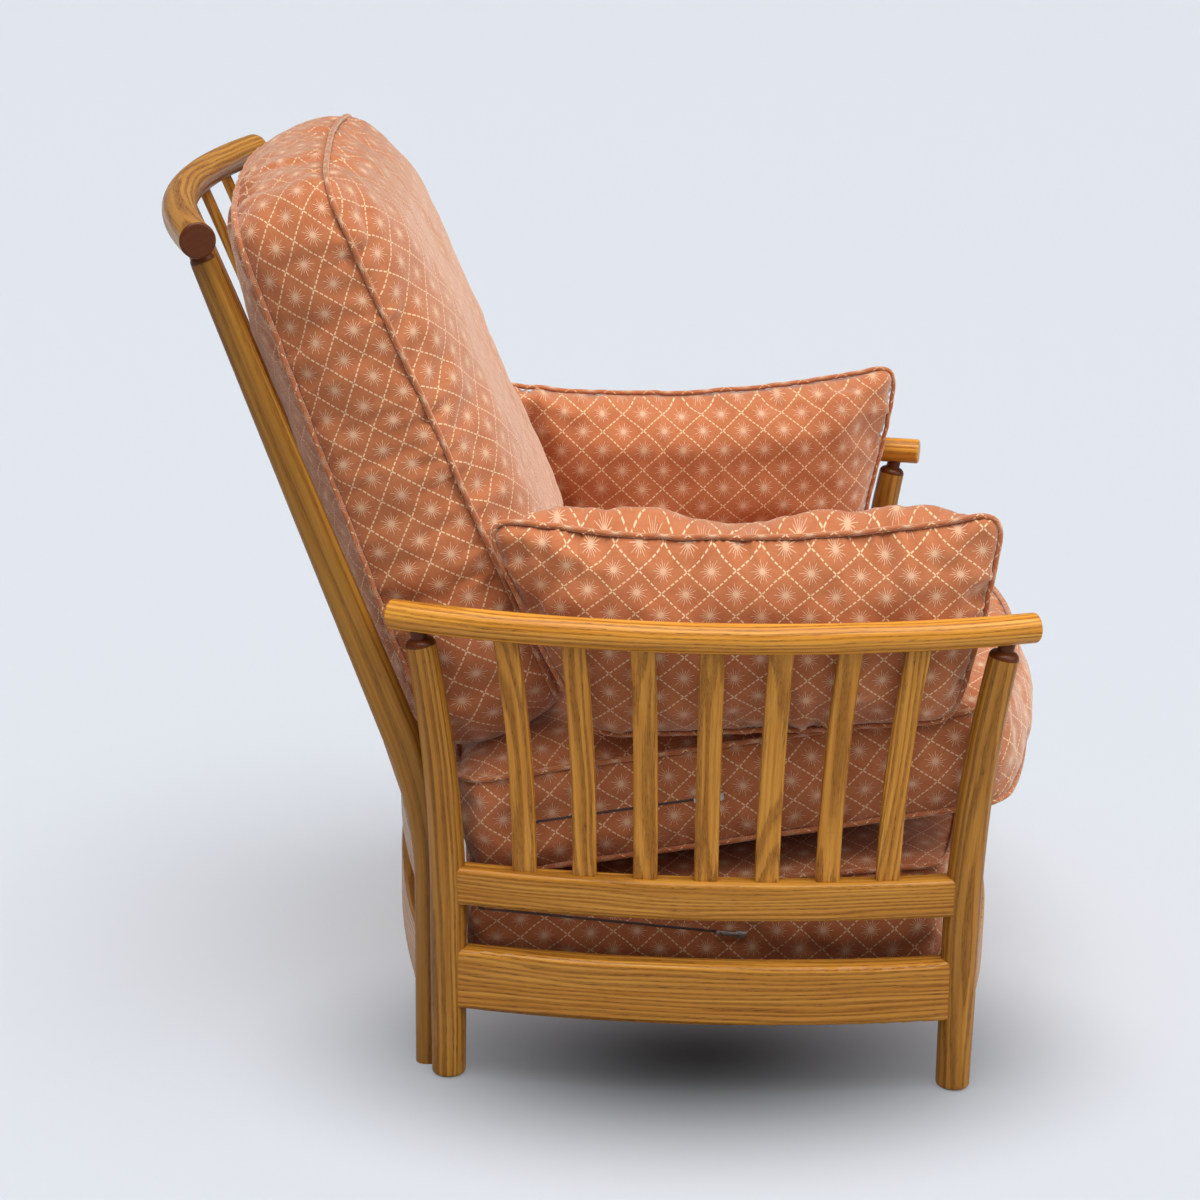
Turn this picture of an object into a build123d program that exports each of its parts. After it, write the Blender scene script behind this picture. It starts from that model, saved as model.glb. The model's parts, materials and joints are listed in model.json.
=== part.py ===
from build123d import *
import os
from math import asin, cos, degrees, radians, sin, sqrt, tan

os.makedirs("parts", exist_ok=True)

# An ash easy chair: two bowed side frames, a raked slatted back and loose cushions.
# Millimetres, +Z up. The chair faces -Y and its left side is +X. Side pieces are drawn
# once, for the left, in the side frame's own plane (X out of the chair, Y to the rear).

# Stance of the two side frames
leg_spacing = 536
side_offset = 355.5
toe_angle = 4.3

# Round legs: straight past the rails, then bent outwards fore and aft up to the arm
leg_foot_diameter = 36
leg_rail_diameter = 39
leg_top_diameter = 31.5
leg_straight_height = 180
leg_height = 478
leg_splay = 27
foot_rounding = 5
leg_station_shares = (0, 0.35, 0.7, 1)

# Domed end and neck that carry a rail on top of a leg or post
neck_diameter = 17
dome_height = 8
neck_length = 24

# Round arm rails, whose axis runs above the legs' tops
arm_rise = 30
arm_diameter = 31
arm_bow = 50
arm_overhang = 27
bar_end_rounding = 3

# Rails of the side frames, back and front, with tenons into the legs and posts
rail_thickness = 26
lower_rail_base = 80
lower_rail_height = 68
upper_rail_base = 198
upper_rail_height = 42
rail_edge_radius = 6
side_rail_bow = 28
back_rail_bow = 25
front_rail_bow = 64
tenon_thickness = 10
tenon_shoulder = 8
tenon_depth = 12.5
back_rail_housing = 6.5
back_tenon_depth = 16

# Arm slats, fanned from the upper side rail up to the arm
slat_width = 25
slat_thickness = 10
slat_edge_radius = 3.5
slat_housing = 12
slats_per_side = 7
slat_pitch_at_rail = 62.5
slat_pitch_at_arm = 69.5
slat_top_below_arm_axis = 6

# Bent back posts
post_width = 26
post_foot_y = 287
post_foot_depth = 32
post_knee_depth = 39
post_top_depth = 25
post_corner_radius = 11
post_bend_start = 213
post_bend_radius = 450
post_height = 864
post_housing = 3
bend_station_shares = (0, 0.25, 0.5, 0.75, 1)
rake_angle = 21

# Crest rail, whose axis runs above the posts' tops, and back slats
crest_rise = 26
crest_diameter = 36
crest_half_length = 340
crest_bow = 38
back_slat_count = 5
back_slat_pitch = 108
back_slat_sag = 10

# Knock-down fixings between the posts and the rear legs
bolt_diameter = 6
bolt_length = 44
bolt_head_diameter = 14
bolt_head_height = 3
bolt_low_height = 50
bolt_high_height = 173
bolt_y = 279
insert_diameter = 9
insert_length = 13

# Seat support: bearers inside the lower side rails, rubber webbing and its end clips
bearer_base = 90
bearer_height = 26
bearer_inset = 24
bearer_end_inset = 38
web_count = 6
web_end_inset = 30
web_width = 50
web_thickness = 2.5
web_grip = 13
clip_wall = 1.5
clip_length = 14

# Base cushion, a wedge that lies on the webbing; insets are from the side frames' plane
base_front_inset = 12.5
base_rear_inset = 36.5
base_front_y = -252
base_rear_y = 243
base_front_bow = 58
base_rear_bow = 2
base_front_height = 238
base_rear_height = 185
base_crown = 13.9
base_corner_radius = 22

# Seat cushion, tilted up to the front
seat_tilt = 9.2
seat_center_y = 10
seat_center_z = 309.5
seat_front_inset = 12.5
seat_rear_inset = 34.5
seat_front_v = -317
seat_rear_v = 240
seat_front_bow = 84
seat_border = 104
seat_top_crown = 33
seat_low_crown = 25
seat_corner_radius = 34

# Back cushion, laid along the rake
back_side_inset = 63.5
back_bottom = 421.7
back_top = 1008
back_top_bow = 22
back_rear_setback = 128
back_front_setback = 12
back_front_lean = 2.6
back_rear_lean = 1.2
back_front_crown = 56
back_rear_crown = 38
back_corner_radius = 46

# Side cushions, knife edged, under the arms
arm_cushion_inset = 22
arm_cushion_outer_crown = 38
arm_cushion_inner_crown = 62
arm_cushion_top_rear = (228, 606)
arm_cushion_top_front = (-288, 622)
arm_cushion_bottom_front = (-248, 403.1)
arm_cushion_bottom_rear = (118, 380)
arm_cushion_top_sag = 24
arm_cushion_front_bulge = 4
arm_cushion_rear_bulge = 8
arm_cushion_bottom_bulge = 2

# What the cushions share
border_bulge = 8
side_pull_in = 3

# Zips of the base and seat cushions, each with a sliding runner
zip_height = 6
zip_thickness = 2
zip_recess = 3
zip_channel_height = 12
runner_length = 12
runner_height = 9
runner_thickness = 4
runner_gap = 0.4
tab_length = 20
tab_width = 5
tab_thickness = 1.5
base_zip_rear = (236, 180)
base_zip_front = (-48, 154)
seat_zip_rear_v = 190
seat_zip_front_v = -30

# Crown of a cushion as shares of its outline and of its height
crown_outline_shares = (1, 0.93, 0.79, 0.56, 0.25)
crown_height_shares = (0, 0.36, 0.7, 0.93, 1)
pillow_outline_shares = (1, 0.92, 0.76, 0.5, 0.2)
pillow_height_shares = (0, 0.42, 0.76, 0.95, 1)

half_spacing = leg_spacing / 2
base_front_half = side_offset - base_front_inset
base_rear_half = side_offset - base_rear_inset
seat_front_half = side_offset - seat_front_inset
seat_rear_half = side_offset - seat_rear_inset
back_half_width = side_offset - back_side_inset
arm_height = leg_height + arm_rise
crest_height = post_height + crest_rise
bearer_length = leg_spacing - 2 * bearer_end_inset
web_pitch = (bearer_length - 2 * web_end_inset) / (web_count - 1)
leg_axis_x = side_offset - half_spacing * sin(radians(toe_angle))
side_place = Pos(side_offset, 0, 0) * Rot(0, 0, toe_angle)
pieces = {}


def arc_radius(half_span, bow):
    return (half_span**2 + bow**2) / (2 * bow)


def bow_at(half_span, bow, along):
    """Distance of a bowed centre line from its chord, at a place along the chord."""
    radius = arc_radius(half_span, bow)
    return sqrt(radius**2 - along**2) - (radius - bow)


def to_rear(shape):
    """Turns a bar that bows towards +X so that it bows towards +Y."""
    return Rot(0, 0, 90) * shape


def to_front(shape):
    return Rot(0, 0, -90) * shape


def both_sides(name, shape):
    pieces[f"{name}_left"] = side_place * shape
    pieces[f"{name}_right"] = mirror(side_place * shape, about=Plane.YZ)


def round_bar(half_span, bow, reach, diameter):
    """Round bar along Y that bows towards +X, with eased ends."""
    radius = arc_radius(half_span, bow)
    sweep_angle = degrees(asin(reach / radius))
    path = CenterArc((bow - radius, 0), radius, -sweep_angle, 2 * sweep_angle)
    section = Plane(origin=path @ 0, z_dir=path % 0) * Circle(diameter / 2)
    bar = sweep(section, path=path)
    end_edges = bar.faces().filter_by(GeomType.PLANE).edges()
    return fillet(end_edges, bar_end_rounding)


def flat_bar(half_span, bow, reach, thickness, height):
    """Flat bar along Y that bows towards +X, standing on the ground plane."""
    radius = arc_radius(half_span, bow)
    sweep_angle = degrees(asin(reach / radius))
    outer = CenterArc((bow - radius, 0), radius + thickness / 2, -sweep_angle, 2 * sweep_angle)
    inner = CenterArc((bow - radius, 0), radius - thickness / 2, -sweep_angle, 2 * sweep_angle)
    ends = [Line(outer @ 0, inner @ 0), Line(outer @ 1, inner @ 1)]
    return extrude(make_face([outer, inner] + ends), amount=height)


def eased_board(half_span, bow, reach, height, base):
    """Bowed board with rounded long edges and square ends."""
    board = flat_bar(half_span, bow, reach, rail_thickness, height)
    return Pos(0, 0, base) * fillet(board.edges().filter_by(GeomType.CIRCLE), rail_edge_radius)


def tenons(half_span, bow, reach, height, base):
    """The tenons of both ends of a rail, as one bar that runs through it."""
    bar = flat_bar(half_span, bow, reach, tenon_thickness, height - 2 * tenon_shoulder)
    return Pos(0, 0, base + tenon_shoulder) * bar


def coped_rail(half_span, bow, height, base, legs):
    """Rail whose ends are shaped to the round legs, with a tenon into each leg."""
    board = eased_board(half_span, bow, half_span, height, base)
    for leg in legs:
        board = board - leg
    tenon_reach = half_span - leg_rail_diameter / 2 + tenon_depth
    return board + tenons(half_span, bow, tenon_reach, height, base)


def housed_rail(half_span, bow, height, base):
    """Rail whose square ends are let into the posts, with a tenon beyond each end."""
    post_face = half_span - post_width / 2
    board = eased_board(half_span, bow, post_face + back_rail_housing, height, base)
    return board + tenons(half_span, bow, post_face + back_tenon_depth, height, base)


def domed_neck(end_diameter):
    """Turned end: a shallow dome with a neck standing on it, about +Z."""
    end_radius = end_diameter / 2
    neck_radius = neck_diameter / 2
    mid_radius = neck_radius + (end_radius - neck_radius) * sin(radians(45))
    outline = [
        Line((0, 0), (end_radius, 0)),
        ThreePointArc((end_radius, 0), (mid_radius, dome_height * sin(radians(45))),
                      (neck_radius, dome_height)),
        Line((neck_radius, dome_height), (neck_radius, neck_length)),
        Line((neck_radius, neck_length), (0, neck_length)),
        Line((0, neck_length), (0, 0)),
    ]
    profile = Plane.XZ * make_face(outline)
    return revolve(profile, axis=Axis.Z)


def bent_leg():
    """Leg at the origin whose top leans towards +Y."""
    bend_height = leg_height - leg_straight_height
    bend_radius = arc_radius(bend_height, leg_splay)
    straight = Cone(leg_foot_diameter / 2, leg_rail_diameter / 2, leg_straight_height,
                    align=(Align.CENTER, Align.CENTER, Align.MIN))
    foot_edge = straight.edges().filter_by(GeomType.CIRCLE).sort_by(Axis.Z)[0]
    straight = fillet(foot_edge, foot_rounding)
    sections = []
    for share in leg_station_shares:
        lean = asin(share * bend_height / bend_radius)
        center = (0, bend_radius * (1 - cos(lean)), leg_straight_height + share * bend_height)
        diameter = leg_rail_diameter + share * (leg_top_diameter - leg_rail_diameter)
        top_plane = Plane(origin=center, x_dir=(1, 0, 0), z_dir=(0, sin(lean), cos(lean)))
        sections.append(top_plane * Circle(diameter / 2))
    return straight + loft(sections) + top_plane.location * domed_neck(leg_top_diameter)


def post_axis(height):
    """Y of the post's centre line at a height, and its lean there in degrees."""
    bend_rise = post_bend_radius * sin(radians(rake_angle))
    rise = height - post_bend_start
    if rise <= 0:
        return post_foot_y, 0
    if rise < bend_rise:
        lean = asin(rise / post_bend_radius)
        return post_foot_y + post_bend_radius * (1 - cos(lean)), degrees(lean)
    bend_run = post_bend_radius * (1 - cos(radians(rake_angle)))
    return post_foot_y + bend_run + (rise - bend_rise) * tan(radians(rake_angle)), rake_angle


def back_post(center_x):
    """Post of a straight foot, a bend and a straight tapered upper part."""
    def section(height, depth):
        y, lean = post_axis(height)
        z_dir = (0, sin(radians(lean)), cos(radians(lean)))
        plane = Plane(origin=(center_x, y, height), x_dir=(1, 0, 0), z_dir=z_dir)
        return plane * RectangleRounded(post_width, depth, post_corner_radius)

    bend_rise = post_bend_radius * sin(radians(rake_angle))
    bend_sections = [section(post_bend_start + share * bend_rise,
                             post_foot_depth + share * (post_knee_depth - post_foot_depth))
                     for share in bend_station_shares]
    foot = extrude(section(0, post_foot_depth), amount=post_bend_start)
    upper = loft([bend_sections[-1], section(post_height, post_top_depth)], ruled=True)
    y, lean = post_axis(post_height)
    top_normal = (0, sin(radians(lean)), cos(radians(lean)))
    top = Plane(origin=(center_x, y, post_height), x_dir=(1, 0, 0), z_dir=top_normal)
    return foot + loft(bend_sections) + upper + top.location * domed_neck(post_top_depth)


def bent_slat(low, high, bulge, across):
    """Slat between two points; bulge moves its middle, across points along its width."""
    middle = (Vector(*low) + Vector(*high)) * 0.5 + Vector(*bulge)
    path = ThreePointArc(low, middle, high)
    plane = Plane(origin=path @ 0, x_dir=across, z_dir=path % 0)
    return sweep(plane * RectangleRounded(slat_width, slat_thickness, slat_edge_radius), path=path)


# Side frames
rear_leg = Pos(0, half_spacing, 0) * bent_leg()
front_leg = mirror(rear_leg, about=Plane.XZ)
top_lean = asin((leg_height - leg_straight_height)
                / arc_radius(leg_height - leg_straight_height, leg_splay))
arm_half_span = half_spacing + leg_splay + arm_rise * tan(top_lean)
arm_rail = round_bar(arm_half_span, arm_bow, arm_half_span + arm_overhang, arm_diameter)
arm_rail = Pos(0, 0, arm_height) * arm_rail - front_leg - rear_leg

upper_rail = coped_rail(half_spacing, side_rail_bow, upper_rail_height, upper_rail_base,
                        [front_leg, rear_leg])
lower_rail = coped_rail(half_spacing, side_rail_bow, lower_rail_height, lower_rail_base,
                        [front_leg, rear_leg])
upper_rail_top = upper_rail_base + upper_rail_height

arm_slats = []
for index in range(slats_per_side):
    step = index - (slats_per_side - 1) / 2
    rail_y = step * slat_pitch_at_rail
    arm_y = step * slat_pitch_at_arm
    low = (bow_at(half_spacing, side_rail_bow, rail_y), rail_y, upper_rail_top - slat_housing)
    high = (bow_at(arm_half_span, arm_bow, arm_y), arm_y, arm_height - slat_top_below_arm_axis)
    lean_out = ((low[0] - high[0]) / 4, (low[1] - high[1]) / 4, 0)
    along_rail = (-rail_y / arc_radius(half_spacing, side_rail_bow), 1, 0)
    arm_slats.append(bent_slat(low, high, lean_out, along_rail))
for slat in arm_slats:
    upper_rail = upper_rail - slat
    arm_rail = arm_rail - slat

bearer_outline = Rectangle(bearer_inset + side_rail_bow, bearer_length,
                           align=(Align.MIN, Align.CENTER))
bearer = extrude(Pos(-bearer_inset, 0) * bearer_outline, amount=bearer_height)
rail_radius = arc_radius(half_spacing, side_rail_bow)
inside_rail = Pos(side_rail_bow - rail_radius, 0, 0) * Cylinder(
    rail_radius - rail_thickness / 2, bearer_height, align=(Align.CENTER, Align.CENTER, Align.MIN))
bearer = Pos(0, 0, bearer_base) * (bearer & inside_rail)

# Back frame: posts, crest, rails and slats, set against the rear legs
post_x = leg_axis_x - leg_rail_diameter / 2 + post_housing - post_width / 2
post_left = back_post(post_x)
post_right = mirror(post_left, about=Plane.YZ)
crest_y = post_axis(crest_height)[0]
crest_rail = Pos(0, crest_y, crest_height) * to_rear(
    round_bar(post_x, crest_bow, crest_half_length, crest_diameter))
crest_rail = crest_rail - post_left - post_right

back_upper_rail = Pos(0, post_foot_y, 0) * to_rear(
    housed_rail(post_x, back_rail_bow, upper_rail_height, upper_rail_base))
back_lower_rail = Pos(0, post_foot_y, 0) * to_rear(
    housed_rail(post_x, back_rail_bow, lower_rail_height, lower_rail_base))

for index in range(back_slat_count):
    slat_x = (index - (back_slat_count - 1) / 2) * back_slat_pitch
    low = (slat_x, post_foot_y + bow_at(post_x, back_rail_bow, slat_x),
           upper_rail_top - slat_housing)
    high = (slat_x, crest_y + bow_at(post_x, crest_bow, slat_x),
            crest_height - slat_top_below_arm_axis)
    back_slat = bent_slat(low, high, (0, -back_slat_sag, 0), (1, 0, 0))
    back_upper_rail = back_upper_rail - back_slat
    crest_rail = crest_rail - back_slat
    pieces[f"back_slat_{index + 1}"] = back_slat

# Front rail between the front legs
front_axis_x = side_offset + half_spacing * sin(radians(toe_angle))
front_axis_y = half_spacing * cos(radians(toe_angle))
front_leg_left = side_place * front_leg
front_leg_right = mirror(front_leg_left, about=Plane.YZ)
legs_at_origin = [Rot(0, 0, 90) * (Pos(0, front_axis_y, 0) * leg)
                  for leg in (front_leg_left, front_leg_right)]
front_rail = coped_rail(front_axis_x, front_rail_bow, lower_rail_height, lower_rail_base,
                        legs_at_origin)
front_rail = Pos(0, -front_axis_y, 0) * to_front(front_rail)

# Bolts from the posts into threaded inserts in the rear legs, on the left side
bolts = []
inserts = []
post_inner_x = post_x - post_width / 2
upright = (Align.CENTER, Align.CENTER, Align.MIN)
for height in (bolt_low_height, bolt_high_height):
    outwards = Plane(origin=(post_inner_x, bolt_y, height), z_dir=(1, 0, 0)).location
    shank = Cylinder(bolt_diameter / 2, bolt_length, align=upright)
    head = Cylinder(bolt_head_diameter / 2, bolt_head_height,
                    align=(Align.CENTER, Align.CENTER, Align.MAX))
    sleeve = Cylinder(insert_diameter / 2, insert_length, align=upright)
    sleeve = Pos(0, 0, bolt_length - insert_length) * sleeve
    bolts.append(outwards * (shank + head))
    inserts.append(outwards * (sleeve - shank))

# Mortises and bores in what receives the rails, posts and bolts
rear_leg_left = side_place * rear_leg - post_left
for rail in (upper_rail, lower_rail):
    rear_leg_left = rear_leg_left - side_place * rail
    front_leg_left = front_leg_left - side_place * rail
front_leg_left = front_leg_left - front_rail
for rail in (back_upper_rail, back_lower_rail):
    post_left = post_left - rail
for bolt, insert in zip(bolts, inserts):
    post_left = post_left - bolt
    rear_leg_left = rear_leg_left - bolt - insert

for name, left_piece in (("front_leg", front_leg_left), ("rear_leg", rear_leg_left),
                         ("back_post", post_left)):
    pieces[f"{name}_left"] = left_piece
    pieces[f"{name}_right"] = mirror(left_piece, about=Plane.YZ)
both_sides("arm_rail", arm_rail)
both_sides("side_upper_rail", upper_rail)
both_sides("side_lower_rail", lower_rail)
for index, slat in enumerate(arm_slats):
    both_sides(f"arm_slat_{index + 1}", slat)
pieces["crest_rail"] = crest_rail
pieces["back_upper_rail"] = back_upper_rail
pieces["back_lower_rail"] = back_lower_rail
pieces["front_rail"] = front_rail
pieces["frame_bolts"] = Compound(
    [solid for bolt in bolts for solid in (bolt.solid(), mirror(bolt.solid(), about=Plane.YZ))])
pieces["threaded_inserts"] = Compound(
    [solid for insert in inserts
     for solid in (insert.solid(), mirror(insert.solid(), about=Plane.YZ))])

# Webbing straps across the bearers, gripped by a folded clip at each end
web_base = bearer_base + bearer_height + clip_wall
straps = []
clips = []
for index in range(web_count):
    web_y = (index - (web_count - 1) / 2) * web_pitch
    bearer_edge = side_offset - web_y * tan(radians(toe_angle)) - bearer_inset
    strap_end = bearer_edge + web_grip
    place = Pos(0, web_y, web_base)
    straps.append(place * Box(2 * strap_end, web_width, web_thickness, align=upright))
    for side in (-1, 1):
        shell = Box(clip_length, web_width, web_thickness + 2 * clip_wall, align=upright)
        clip_center = strap_end + clip_wall - clip_length / 2
        shell = place * Pos(side * clip_center, 0, -clip_wall) * shell
        clips.append((shell - straps[-1]).solid())
pieces["seat_webbing"] = Compound([strap.solid() for strap in straps])
pieces["webbing_clips"] = Compound(clips)
both_sides("seat_bearer", bearer)
clip_top = web_base + web_thickness + clip_wall


def cushion_outline(front_half, rear_half, front, rear, front_bow, rear_bow, side_bow, corner):
    """Plan of a cushion, front towards -Y, with bowed edges and rounded corners."""
    middle = (front + rear) / 2
    side_mid = (front_half + rear_half) / 2 + side_bow
    edges = [
        ThreePointArc((-front_half, front), (0, front - front_bow), (front_half, front)),
        ThreePointArc((front_half, front), (side_mid, middle), (rear_half, rear)),
        ThreePointArc((rear_half, rear), (0, rear + rear_bow), (-rear_half, rear)),
        ThreePointArc((-rear_half, rear), (-side_mid, middle), (-front_half, front)),
    ]
    plan = make_face(edges)
    return fillet(plan.vertices(), corner)


def crown(plan, place, height, outline_shares, height_shares):
    """Domed cushion face standing on its plan, up along +Z of its place."""
    sections = [place * Pos(0, 0, lift * height) * scale(plan, by=share)
                for share, lift in zip(outline_shares, height_shares)]
    return loft(sections)


def boxed_cushion(plan, wide_plan, low_place, high_place, mid_place, low_crown, high_crown):
    """Cushion of two crowned faces and the bulging border between them."""
    border = loft([low_place * plan, mid_place * wide_plan, high_place * plan])
    body = border + crown(plan, high_place, high_crown, crown_outline_shares, crown_height_shares)
    if low_crown:
        body = body + crown(plan, low_place, -low_crown, crown_outline_shares, crown_height_shares)
    return body


def tilted(center_y, center_z, lean):
    """Place whose +Z leans to the rear by an angle, and whose +Y runs down to the rear."""
    normal = (0, sin(radians(lean)), cos(radians(lean)))
    return Plane(origin=(0, center_y, center_z), x_dir=(1, 0, 0), z_dir=normal).location


def widened(plan):
    """The same plan, grown by the bulge of the border."""
    half_width = plan.bounding_box().size.X / 2
    return scale(plan, by=(half_width + border_bulge) / half_width)


# Base cushion
base_middle_y = (base_front_y + base_rear_y) / 2
base_half_depth = (base_rear_y - base_front_y) / 2
base_plan = cushion_outline(base_front_half, base_rear_half, -base_half_depth, base_half_depth,
                            base_front_bow, base_rear_bow, -side_pull_in, base_corner_radius)
base_lean = degrees(asin((base_front_height - base_rear_height) / (2 * base_half_depth)))
base_top_z = (base_front_height + base_rear_height) / 2
base_low = tilted(base_middle_y, clip_top, 0)
base_mid = tilted(base_middle_y, (clip_top + base_top_z) / 2, base_lean / 2)
base_high = tilted(base_middle_y, base_top_z, base_lean)
base_cushion = boxed_cushion(base_plan, base_plan, base_low, base_high, base_mid, 0, base_crown)

# Seat cushion
seat_plan = cushion_outline(seat_front_half, seat_rear_half, seat_front_v, seat_rear_v,
                            seat_front_bow, base_rear_bow, -side_pull_in, seat_corner_radius)
seat_place = tilted(seat_center_y, seat_center_z, seat_tilt)
seat_low = seat_place * Pos(0, 0, -seat_border / 2)
seat_high = seat_place * Pos(0, 0, seat_border / 2)
seat_cushion = boxed_cushion(seat_plan, widened(seat_plan), seat_low, seat_high, seat_place,
                             seat_low_crown, seat_top_crown)

# Back cushion: its plan stands on the rake, bottom edge towards -Y of the plan
back_middle = (back_bottom + back_top) / 2
back_half_length = (back_top - back_bottom) / 2
back_plan = cushion_outline(back_half_width, back_half_width, -back_half_length,
                            back_half_length, border_bulge, back_top_bow, -side_pull_in,
                            back_corner_radius)
rake = radians(rake_angle)


def on_rake(setback, lean):
    """Place on the back cushion's middle, a distance behind the rake's datum plane."""
    center = (0, back_middle * sin(rake) + setback * cos(rake),
              back_middle * cos(rake) - setback * sin(rake))
    facing = radians(rake_angle + lean)
    return Plane(origin=center, x_dir=(1, 0, 0), z_dir=(0, -cos(facing), sin(facing))).location


back_low = on_rake(back_rear_setback, -back_rear_lean)
back_high = on_rake(back_front_setback, back_front_lean)
back_mid = on_rake((back_rear_setback + back_front_setback) / 2,
                   (back_front_lean - back_rear_lean) / 2)
back_cushion = boxed_cushion(back_plan, widened(back_plan), back_low, back_high, back_mid,
                             back_rear_crown, back_front_crown)

# Side cushions: four bowed edges in the side frame's plane, crowned to both faces
side_corners = [arm_cushion_top_rear, arm_cushion_top_front, arm_cushion_bottom_front,
                arm_cushion_bottom_rear]
side_center_y = sum(corner[0] for corner in side_corners) / len(side_corners)
side_center_z = sum(corner[1] for corner in side_corners) / len(side_corners)
side_bulges = [-arm_cushion_top_sag, arm_cushion_front_bulge, arm_cushion_bottom_bulge,
               arm_cushion_rear_bulge]
side_edges = []
for index, bulge in enumerate(side_bulges):
    start = Vector(side_corners[index][0] - side_center_y, side_corners[index][1] - side_center_z)
    following = side_corners[(index + 1) % len(side_corners)]
    end = Vector(following[0] - side_center_y, following[1] - side_center_z)
    along = (end - start).normalized()
    outward = Vector(along.Y, -along.X)
    side_edges.append(ThreePointArc(start, (start + end) * 0.5 + outward * bulge, end))
pillow_plan = make_face(side_edges)
upright_plane = Plane(origin=(-arm_cushion_inset, side_center_y, side_center_z),
                      x_dir=(0, 1, 0), z_dir=(1, 0, 0))
arm_cushion = crown(pillow_plan, upright_plane.location, arm_cushion_outer_crown,
                    pillow_outline_shares, pillow_height_shares)
arm_cushion = arm_cushion + crown(pillow_plan, upright_plane.location,
                                  -arm_cushion_inner_crown,
                                  pillow_outline_shares, pillow_height_shares)
both_sides("arm_cushion", arm_cushion)


def fit_zip(cushion, rear_end, front_end, name):
    """Lets a zip into a cushion's right side; its runner rests at the front end."""
    rear_end, front_end = Vector(*rear_end), Vector(*front_end)
    run = rear_end - front_end
    along = run.normalized()
    face_dir = Vector(-1, 0, 0) - along * Vector(-1, 0, 0).dot(along)
    place = Plane(origin=front_end, x_dir=along, z_dir=face_dir).location
    lengthwise = (Align.MIN, Align.CENTER, Align.MIN)
    chain = place * Box(run.length, zip_height, zip_thickness, align=lengthwise)
    channel_depth = zip_recess + border_bulge + runner_thickness
    channel = place * Pos(0, 0, zip_thickness) * Box(
        run.length, zip_channel_height, channel_depth, align=lengthwise)
    runner = Box(runner_length, runner_height, runner_thickness, align=lengthwise)
    tab = Pos(runner_length, 0, runner_thickness - tab_thickness) * Box(
        tab_length, tab_width, tab_thickness, align=lengthwise)
    pieces[f"{name}_zip"] = chain
    runner_place = place * Pos(runner_gap, 0, zip_thickness + runner_gap)
    pieces[f"{name}_zip_runner"] = runner_place * (runner + tab)
    print(name, "zip axis", tuple(round(part, 5) for part in along), "length", run.length)
    return cushion - chain - channel


def side_x(front_half, rear_half, front, rear, at):
    """Half width of a tapered cushion at a place along its depth."""
    share = (at - front) / (rear - front)
    return front_half + share * (rear_half - front_half) - side_pull_in


base_ends = []
for y, z in (base_zip_rear, base_zip_front):
    half = side_x(base_front_half, base_rear_half, base_front_y, base_rear_y, y)
    base_ends.append((zip_recess - half, y, z))
pieces["base_cushion"] = fit_zip(base_cushion, base_ends[0], base_ends[1], "base")
seat_ends = []
for v in (seat_zip_rear_v, seat_zip_front_v):
    half = side_x(seat_front_half, seat_rear_half, seat_front_v, seat_rear_v, v)
    end_place = seat_place * Pos(zip_recess - border_bulge - half, v, 0)
    seat_ends.append(tuple(end_place.position))
pieces["seat_cushion"] = fit_zip(seat_cushion, seat_ends[0], seat_ends[1], "seat")
pieces["back_cushion"] = back_cushion

# The origin goes to the middle of the whole chair's footprint, on the floor
whole = Compound([solid for shape in pieces.values() for solid in shape.solids()]).bounding_box()
shift = Pos(-(whole.min.X + whole.max.X) / 2, -(whole.min.Y + whole.max.Y) / 2, -whole.min.Z)
print("size", whole.size, "shift", shift.position)
for name, shape in pieces.items():
    export_step(shift * shape, f"parts/{name}.step")
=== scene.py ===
"""An ash easy chair with loose, patterned cushions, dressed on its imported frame."""
import json
import logging
import math
from dataclasses import dataclass, field
from enum import Enum
from typing import Callable, Sequence, Union

import bpy
import numpy as np
from mathutils import Matrix, Vector, noise
from mathutils.kdtree import KDTree


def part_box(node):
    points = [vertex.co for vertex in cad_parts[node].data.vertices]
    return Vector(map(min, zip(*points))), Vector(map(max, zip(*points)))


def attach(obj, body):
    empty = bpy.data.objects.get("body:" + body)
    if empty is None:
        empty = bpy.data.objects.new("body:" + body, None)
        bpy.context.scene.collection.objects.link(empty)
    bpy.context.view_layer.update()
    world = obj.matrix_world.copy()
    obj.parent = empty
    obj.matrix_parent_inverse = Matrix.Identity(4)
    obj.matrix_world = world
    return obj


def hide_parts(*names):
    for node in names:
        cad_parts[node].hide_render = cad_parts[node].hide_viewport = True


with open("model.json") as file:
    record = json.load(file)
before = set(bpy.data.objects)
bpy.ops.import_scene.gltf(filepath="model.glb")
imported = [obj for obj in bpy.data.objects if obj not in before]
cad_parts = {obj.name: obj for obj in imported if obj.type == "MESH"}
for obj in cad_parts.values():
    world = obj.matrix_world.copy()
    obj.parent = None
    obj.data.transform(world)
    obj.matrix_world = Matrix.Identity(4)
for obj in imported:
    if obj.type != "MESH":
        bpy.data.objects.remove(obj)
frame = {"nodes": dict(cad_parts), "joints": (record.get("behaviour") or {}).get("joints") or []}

log = logging.getLogger("easy_chair")
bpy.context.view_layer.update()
FRAME_BODY = "frame"
UV_NAME = "cloth_metres"
WELD_DECIMALS = 6
SMALLEST_LENGTH = 1e-9
FACING = 0.9             # the least share of a direction in the normal of a face towards it
MILLIMETRES = 1000       # to a metre
SMOOTH_ANGLE = math.radians(40)


def unit(vector: Sequence[float]) -> np.ndarray:
    """Returns the vector at length one."""
    values = np.asarray(vector, float)
    return values / np.linalg.norm(values)


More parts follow.
